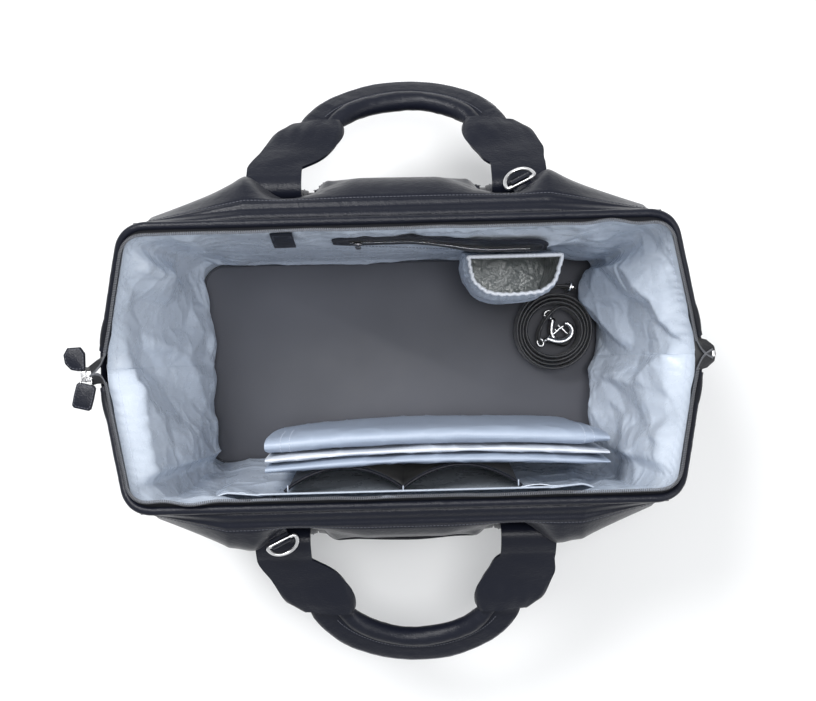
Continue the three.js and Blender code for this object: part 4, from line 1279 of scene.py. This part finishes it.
def make_hanging_tab():
    x, v = grid_of((-114, -94), (0, 1), 24, 40)
    z = mix(244.0, 282.0, v)
    spot = vec(x, z, 0 * x)
    lift = 3.4 + 6.5 * (1 - v) + 0.9 * np.sin(math.pi * v) + 0.3 * noise(spot, 9, 4)
    tab = sheet_object("hanging_tab_leather", back_wall(x, z, lift), 1.7, LEATHER)
    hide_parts("hanging_tab")
    border = rounded_box(16, 32, 1.5, 5)
    height = 263 + border[:, 1]
    share = (height - 244) / 38
    ring = back_wall(-104 + border[:, 0], height, 3.7 + 6.5 * (1 - share) + 0.9 * np.sin(math.pi * share))
    row = stitches("hanging_tab_stitches", np.concatenate([ring, ring[:1]]), (0, -1, 0), THREAD, 2.6, 0.35)
    for piece in (tab, row):
        follow_frame(piece)


make_inner_pocket()
make_bottle_pocket()
make_hanging_tab()


# ---- The ends of the main zip, past the frames ----
def zip_end_path(side, end, target):
    """From the end of a zip half on its frame, out over the fold, to a point past it."""
    line = on_frame(side, frame_route(320, 3.6, 6.5)[0])
    sign = -1 if end == "left" else 1
    if line[0, 0] * sign < 0:
        line = line[::-1]
    start, before = line[0], line[12]
    leave = unit(start - before)
    knee = start + leave * 9 + [sign * 4, 0, -1]
    return bezier([start - leave * 2, start + leave * 5, knee, target], 60)


def fold_with_frame(piece):
    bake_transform(piece)


def make_zip_end(side, end, target):
    path = zip_end_path(side, end, target)
    t = np.linspace(0, 1, len(path))[:, None]
    towards = -1 if side == BACK else 1
    rise = frame_direction(side, [0, 0, 1.0])
    up = unit(mix(rise, np.array([0, towards * 1.0, 0.35]), smooth(t, 0.15, 0.75)))
    ribbon = sweep_object(f"{end}_zip_ribbon_{side}", path, rounded_box(1.1, 9.4, 0.5, 4), ZIP_TAPE, up=up)
    share = np.linspace(0.02, 1, 34)
    spots = along(path, share)
    run = np.gradient(spots, axis=0)
    ups = unit(np.stack([np.interp(share, t[:, 0], up[:, k]) for k in range(3)], axis=1))
    teeth = rods(f"{end}_zip_chain_{side}", spots + ups * 4.6, ups, run, 1.5, 0.62, ZIP_COIL)
    for piece in (ribbon, teeth):
        fold_with_frame(piece)
    return ribbon


def make_zip_ends():
    left = make_zip_end(FRONT, "left", (-285.5, -10.5, 250.4))
    make_zip_end(BACK, "left", (-285.5, -1.0, 250.4))
    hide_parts("zip_tail_left")
    right = make_zip_end(FRONT, "right", (285, -1.0, 250.4))
    make_zip_end(BACK, "right", (285, 1.0, 250.4))
    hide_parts("zip_tail_right")
    # The leather tab sewn over the end of the tape.
    outline = [[-290, 15], [-290, -0.5], [-296, -1.3], [-303, 0]]
    outline += [[-308.6, 6], [-309.8, 14], [-306, 20.5], [-294, 21]]
    tab_edge = along(outline + outline[:1], np.linspace(0, 1, 49)[:-1])
    tab = slab_object("zip_end_leather", tab_edge, 246.9, 251.5, LEATHER, 1.3)
    inner = along(outline + outline[:1], np.linspace(0, 1, 60))
    middle = inner.mean(axis=0)
    ring = np.column_stack([middle + (inner - middle) * 0.82, np.full(60, 251.6)])
    row = stitches("zip_end_stitches", ring, (0, 0, 1), THREAD, 2.8, 0.36)
    rides([tab, row], "leather", "bag_body", "zip_end_tab")
    tape_end = [[-284, -11], [-284, 2], [-294, 3], [-294, -11]]
    tail = slab_object("zip_end_tape", tape_end, 249.0, 250.2, ZIP_TAPE, 0.4)
    closed_end = [[270, -16], [281, -13], [288, -7], [289.4, 0], [288, 7], [281, 13], [270, 16]]
    patch = slab_object("zip_end_patch", closed_end, 246.6, 248.4, ZIP_TAPE, 0.6)
    rides([tail, patch], "zip_cloth", "bag_body")
    stop = slab_object("zip_end_metal", rounded_box(3, 6, 1, 5) + [286.0, 0], 250.6, 253.2, SILVER, 0.8)
    rides([stop], "chrome", "bag_body", "zip_end_stop")


def make_zip_pull():
    """The slider's body, its bridge, the ring on it and the leather tag on the ring."""
    x, y = -288.5, -6.0
    shell = [[-5.4, -3.6], [-4, -5], [4, -4.4], [5.4, -2.6], [5.4, 2.6], [4, 4.4], [-4, 5], [-5.4, 3.6]]
    shell = np.array(shell) + [x, y]
    body = slab_object("slider_shell", shell, 250.4, 252.3, SILVER, 0.6)
    under = slab_object("slider_under", shell, 247.2, 248.6, SILVER, 0.5)
    arch = np.array([[0, -4.4, 251.8], [0, -3.9, 255.0], [0, 0, 256.4], [0, 3.9, 255.0], [0, 4.4, 251.8]])
    arch = spline(arch + [x, y, 0], np.linspace(0, 1, 24))
    bridge = sweep_object("slider_bridge", arch, rounded_box(2.4, 1.0, 0.4, 3), SILVER, up=(1, 0, 0))
    rides([body, under, bridge], "chrome", "bag_body", "main_zip_slider")
    turn = np.linspace(0, 2 * math.pi, 48, endpoint=False)
    hoop = np.column_stack([x + 5 * np.cos(turn), y - 5 + 5 * np.sin(turn), np.full(48, 253.8)])
    ring = sweep_object("pull_ring_wire", hoop, oval(0.85, 0.85, 10), SILVER, closed=True)
    rides([ring], "chrome", "zip_pull", "zip_pull_ring")

    def put(points):
        turned = turned_z(np.asarray(points, float), math.radians(-14))
        return turned + np.array([x, y - 10, 253.8])

    leaf = [[-7, 3.2], [7, 3.2], [9, 1], [9.4, -9], [9, -18.6]]
    leaf += [[7, -20.6], [-7, -20.6], [-9, -18.6], [-9.4, -9], [-9, 1]]
    edge = along(leaf + leaf[:1], np.linspace(0, 1, 61)[:-1])
    tag = slab_object("pull_tag_leather", edge, -1.8, 1.8, LEATHER, 1.0, put)
    middle = edge.mean(axis=0)
    sewn = np.column_stack([middle + (edge - middle) * 0.84, np.full(60, 1.85)])
    row = stitches("pull_tag_stitches", put(np.concatenate([sewn, sewn[:1]])), (0, 0, 1), THREAD, 2.6, 0.36)
    rides([tag, row], "leather", "zip_pull", "zip_pull_tab")


make_zip_ends()
make_zip_pull()


# ---- Changing mat: folded, and stood against the front pockets ----
MAT_ENDS = (-133.0, 197.0)


def make_cushion(name, y0, y1, z0, z1, material, puff, seed):
    """One leaf of the folded mat, standing: crowned, and thin at its two sewn ends."""
    x0, x1 = MAT_ENDS
    middle, half = (x0 + x1) / 2, (x1 - x0) / 2
    share, turn = grid_of((0, 1), (0, 1), 150, 61)
    angle = 2 * math.pi * turn
    thick, tall = (y1 - y0) / 2, (z1 - z0) / 2
    power = 0.42
    across = np.sign(np.cos(angle)) * np.abs(np.cos(angle)) ** 0.8
    upward = np.sign(np.sin(angle)) * np.abs(np.sin(angle)) ** power
    from_end = np.minimum(share, 1 - share) * (x1 - x0)
    sewn_flat = np.where(share < 0.5, 0.86, 0.5)
    plump = mix(sewn_flat, 1.0, smooth(from_end, 3, 30)) * mix(0.85, 1.0, smooth(from_end, 0, 2.5))
    x = mix(x0, x1, share)
    y = (y0 + y1) / 2 + thick * across * plump - 3 - 7 * ((x - middle) / half) ** 2
    z = (z0 + z1) / 2 + tall * upward * mix(0.985, 1.0, smooth(from_end, 0, 12))
    spot = vec(x, 3 * y, z)
    z = z + np.where(upward > 0, 1, 0) * (1.3 * noise(spot, 60, seed) - puff * smooth(from_end, 40, 0))
    y = y + 1.2 * noise(spot, 45, seed + 1) * across
    y = y + 0.8 * creases(spot, 22, seed + 2) * np.sign(across) * plump
    grid = vec(x, y, z)
    columns, rows = grid.shape[:2]
    rows -= 1
    points = grid[:, :-1].reshape(-1, 3)
    faces = []
    for i, k in itertools.product(range(columns - 1), range(rows)):
        after = (k + 1) % rows
        faces.append([i * rows + k, i * rows + after, (i + 1) * rows + after, (i + 1) * rows + k])
    faces += [list(range(rows))[::-1], list(range((columns - 1) * rows, columns * rows))]
    uv = np.stack([x[:, :-1], lengths(grid, 1)[:, :-1]], axis=-1) * 0.001
    return add_object(name, points, face_out(faces, points), material, uv), grid


def make_mat():
    pad, grid = make_cushion("mat_pad", -78.5, -58.5, 12.4, 213.5, MAT_CLOTH, 3.0, 40)
    edge, _ = make_cushion("mat_white_edge", -86.3, -78.2, 12.4, 210.0, MAT_EDGE, 1.0, 44)
    back, _ = make_cushion("mat_back_leaf", -96.6, -86.0, 12.4, 212.5, MAT_CLOTH, 2.0, 48)
    rows = []
    for number, column in enumerate((7, 11, -12, -8)):
        path = grid[column, 2:29]
        out = unit(path - np.array([path[:, 0].mean(), -68.5, 113]))
        rows.append(stitches(f"mat_stitches_{number}", path + out * 0.3, out, PALE_THREAD, 3.0, 0.36))
    rides([pad, edge, back, *rows], "mat_cloth", "mat", "changing_mat")


make_mat()


# ---- Shoulder strap, coiled on edge, with its hooks and adjuster ----
COIL_X, COIL_Y = 168.0, 28.0
COIL_LOW, COIL_WIDE = 15.8, 34.0
COIL_TURNS = 4


def coil_at(turns):
    """Where the strap is after so many turns out from its inner end."""
    turns = np.asarray(turns, float)
    radius = 28 + 3.8 * turns + 7 * smooth(turns, COIL_TURNS - 0.2, COIL_TURNS)
    angle = math.radians(62) + 2 * math.pi * (COIL_TURNS - turns)
    radius = radius + 0.8 * np.sin(2.3 * angle + 1.2 * turns)
    return np.stack([COIL_X + radius * np.cos(angle), COIL_Y + radius * np.sin(angle)], axis=-1)


def make_strap():
    turns = np.linspace(0, COIL_TURNS, 520)
    flat = coil_at(turns)
    height = COIL_LOW + COIL_WIDE / 2 + 1.6 * np.sin(2.1 * turns + 0.6) + 0.8
    path = np.column_stack([flat, height])
    # The inner end swings in across the coil to the first hook.
    start, tangent = path[0], unit(path[0] - path[3])
    stop = np.array([COIL_X - 15.5, COIL_Y - 12.0, HOOK_Z])
    inner = bezier([stop, stop + [-8.5, 7, 0], start + tangent * 16, start], 70)
    path = np.concatenate([inner[:-1], path])
    wide = COIL_WIDE / 2 - 0.6
    edge = rounded_box(2.9, 2 * wide, 1.1, 4)
    section = np.broadcast_to(edge, (len(path), *edge.shape)).copy()
    taper = mix(0.62, 1.0, smooth(np.arange(len(path)), 0, 46))
    section[..., 1] *= taper[:, None]
    strap = sweep_object("strap_webbing", path, section, WEBBING)
    rows = []
    for name, z in [("low", -0.8), ("high", 0.8)]:
        line = path[80:-6] + [0, 0, z * wide]
        out = unit(line - np.array([COIL_X, COIL_Y, 0])) * [1, 1, 0]
        rows.append(stitches(f"strap_edge_stitches_{name}", line - out * 1.1, -out, THREAD, 3.4, 0.3))
    rides([strap, *rows], "webbing", "carry_strap", "shoulder_strap")


def make_adjuster():
    middle = np.append(coil_at(COIL_TURNS - 0.02), COIL_LOW + COIL_WIDE / 2)
    way = coil_at(COIL_TURNS) - coil_at(COIL_TURNS - 0.04)
    angle = math.atan2(way[1], way[0])
    along_strap = np.array([math.cos(angle), math.sin(angle), 0])
    across = np.array([-math.sin(angle), math.cos(angle), 0])
    frame_line = rounded_box(9.4, COIL_WIDE + 4.4, 3.2, 10)
    path = middle + frame_line[:, :1] * across + frame_line[:, 1:] * np.array([0, 0, 1.0])
    wire = sweep_object("adjuster_frame", path, oval(1.5, 1.3, 12), SILVER, closed=True, up=along_strap)
    bar = np.linspace(-COIL_WIDE / 2 - 1.6, COIL_WIDE / 2 + 1.6, 16)
    bar_path = middle + along_strap * 1.9 + bar[:, None] * np.array([0, 0, 1.0])
    slide = sweep_object("adjuster_bar", bar_path, oval(1.1, 1.1, 12), SILVER, up=across)
    rides([wire, slide], "chrome", "carry_strap", "strap_adjuster")


HOOK_Z = 35.8


def make_hook(name, gate_body, z, turn, aside):
    """A swivel snap hook drawn along +X: eye, collar, bowed wire and a sprung gate."""
    def put(points):
        moved = np.asarray(points, float) + np.array([-22, aside, 0])
        return turned_z(moved, math.radians(turn)) + np.array([COIL_X, COIL_Y, z])

    bow = [[13, 0.4, 0], [18, -4.0, 0], [24, -7.4, 0], [31, -8.2, 0], [37.5, -6.0, 0]]
    bow += [[41.2, -1.2, 0], [41.4, 3.8, 0], [39, 8.0, 0], [36.4, 8.8, 0]]
    path = even_curve(bow, np.linspace(0, 1, 60))
    thick = mix(1.5, 1.0, smooth(np.arange(60), 34, 59))
    wire = sweep_object(name + "_wire", put(path), oval(2.3, 2.9, 14)[None] * thick[:, None, None], SILVER)
    angle = np.linspace(0, 2 * math.pi, 40, endpoint=False)
    loop = np.column_stack([3.4 + 3.2 * np.cos(angle), 0.5 + 4.2 * np.sin(angle), 0 * angle])
    eye = sweep_object(name + "_eye", put(loop), oval(1.4, 1.9, 10), SILVER, closed=True)
    reach = np.array([6.2, 7.0, 7.8, 9.0, 10.2, 11.0, 12.5, 14.5, 16.0])
    radius = np.array([1.6, 3.2, 3.5, 2.2, 2.2, 3.3, 3.7, 3.4, 2.4])
    line = put(np.column_stack([reach, np.full(9, 0.5), np.zeros(9)]))
    collar = sweep_object(name + "_collar", line, oval(1, 1, 20)[None] * radius[:, None, None], SILVER)
    rides([wire, eye, collar], "chrome", "carry_strap", name)
    lever = [[20.4, 3.2, 0], [24, 4.6, 0], [29, 6.2, 0], [33.6, 7.0, 0]]
    lever_line = put(even_curve(lever, np.linspace(0, 1, 20)))
    gate = sweep_object(name + "_lever", lever_line, rounded_box(2.0, 3.0, 0.8, 4), SILVER)
    knob_line = put([[24.5, 5.4, 0], [24.2, 7.2, 0], [24.1, 8.2, 0]])
    knob_section = oval(1.3, 1.3, 12)[None] * np.array([0.8, 1.0, 0.7])[:, None, None]
    knob = sweep_object(name + "_thumb_knob", knob_line, knob_section, SILVER, up=(0, 0, 1))
    rides([gate, knob], "chrome", gate_body, name + "_gate")


make_strap()
make_adjuster()
make_hook("hook_a", "gate_a", HOOK_Z, 22, -7)
make_hook("hook_b", "gate_b", HOOK_Z - 9, -60, 5)


# ---- Studio: pale floor, bright soft light from above ----
def add_light(name, place, size, watts, target=(0, 0, 0.1)):
    data = bpy.data.lights.new(name, "AREA")
    data.energy = watts
    data.shape = "DISK"
    data.size = size
    light = bpy.data.objects.new(name, data)
    light.location = place
    light.rotation_euler = (Vector(target) - light.location).to_track_quat("-Z", "Y").to_euler()
    bpy.context.scene.collection.objects.link(light)


def add_studio():
    bpy.context.scene.view_settings.view_transform = "Standard"
    world = bpy.data.worlds.new("studio")
    bpy.context.scene.world = world
    world.use_nodes = True
    background = world.node_tree.nodes["Background"]
    background.inputs["Color"].default_value = (0.97, 0.985, 1.0, 1)
    background.inputs["Strength"].default_value = 0.6
    add_light("key", (-0.8, 1.0, 2.0), 0.9, 38)
    add_light("fill", (1.4, -0.7, 1.6), 1.2, 10)
    add_light("overhead", (0.15, 0.1, 2.4), 0.7, 20)
    bpy.ops.mesh.primitive_plane_add(size=8)
    floor = bpy.context.object
    floor.name = "studio_floor"
    material, shader = shader_of("floor_paint", (0.86, 0.865, 0.87), 0.85)
    grain = node(material, "ShaderNodeTexNoise")
    grain.inputs["Scale"].default_value = 40
    vary_colour(material, shader, (0.85, 0.855, 0.86), (0.87, 0.875, 0.88), grain.outputs["Fac"])
    floor.data.materials.append(material)


add_studio()
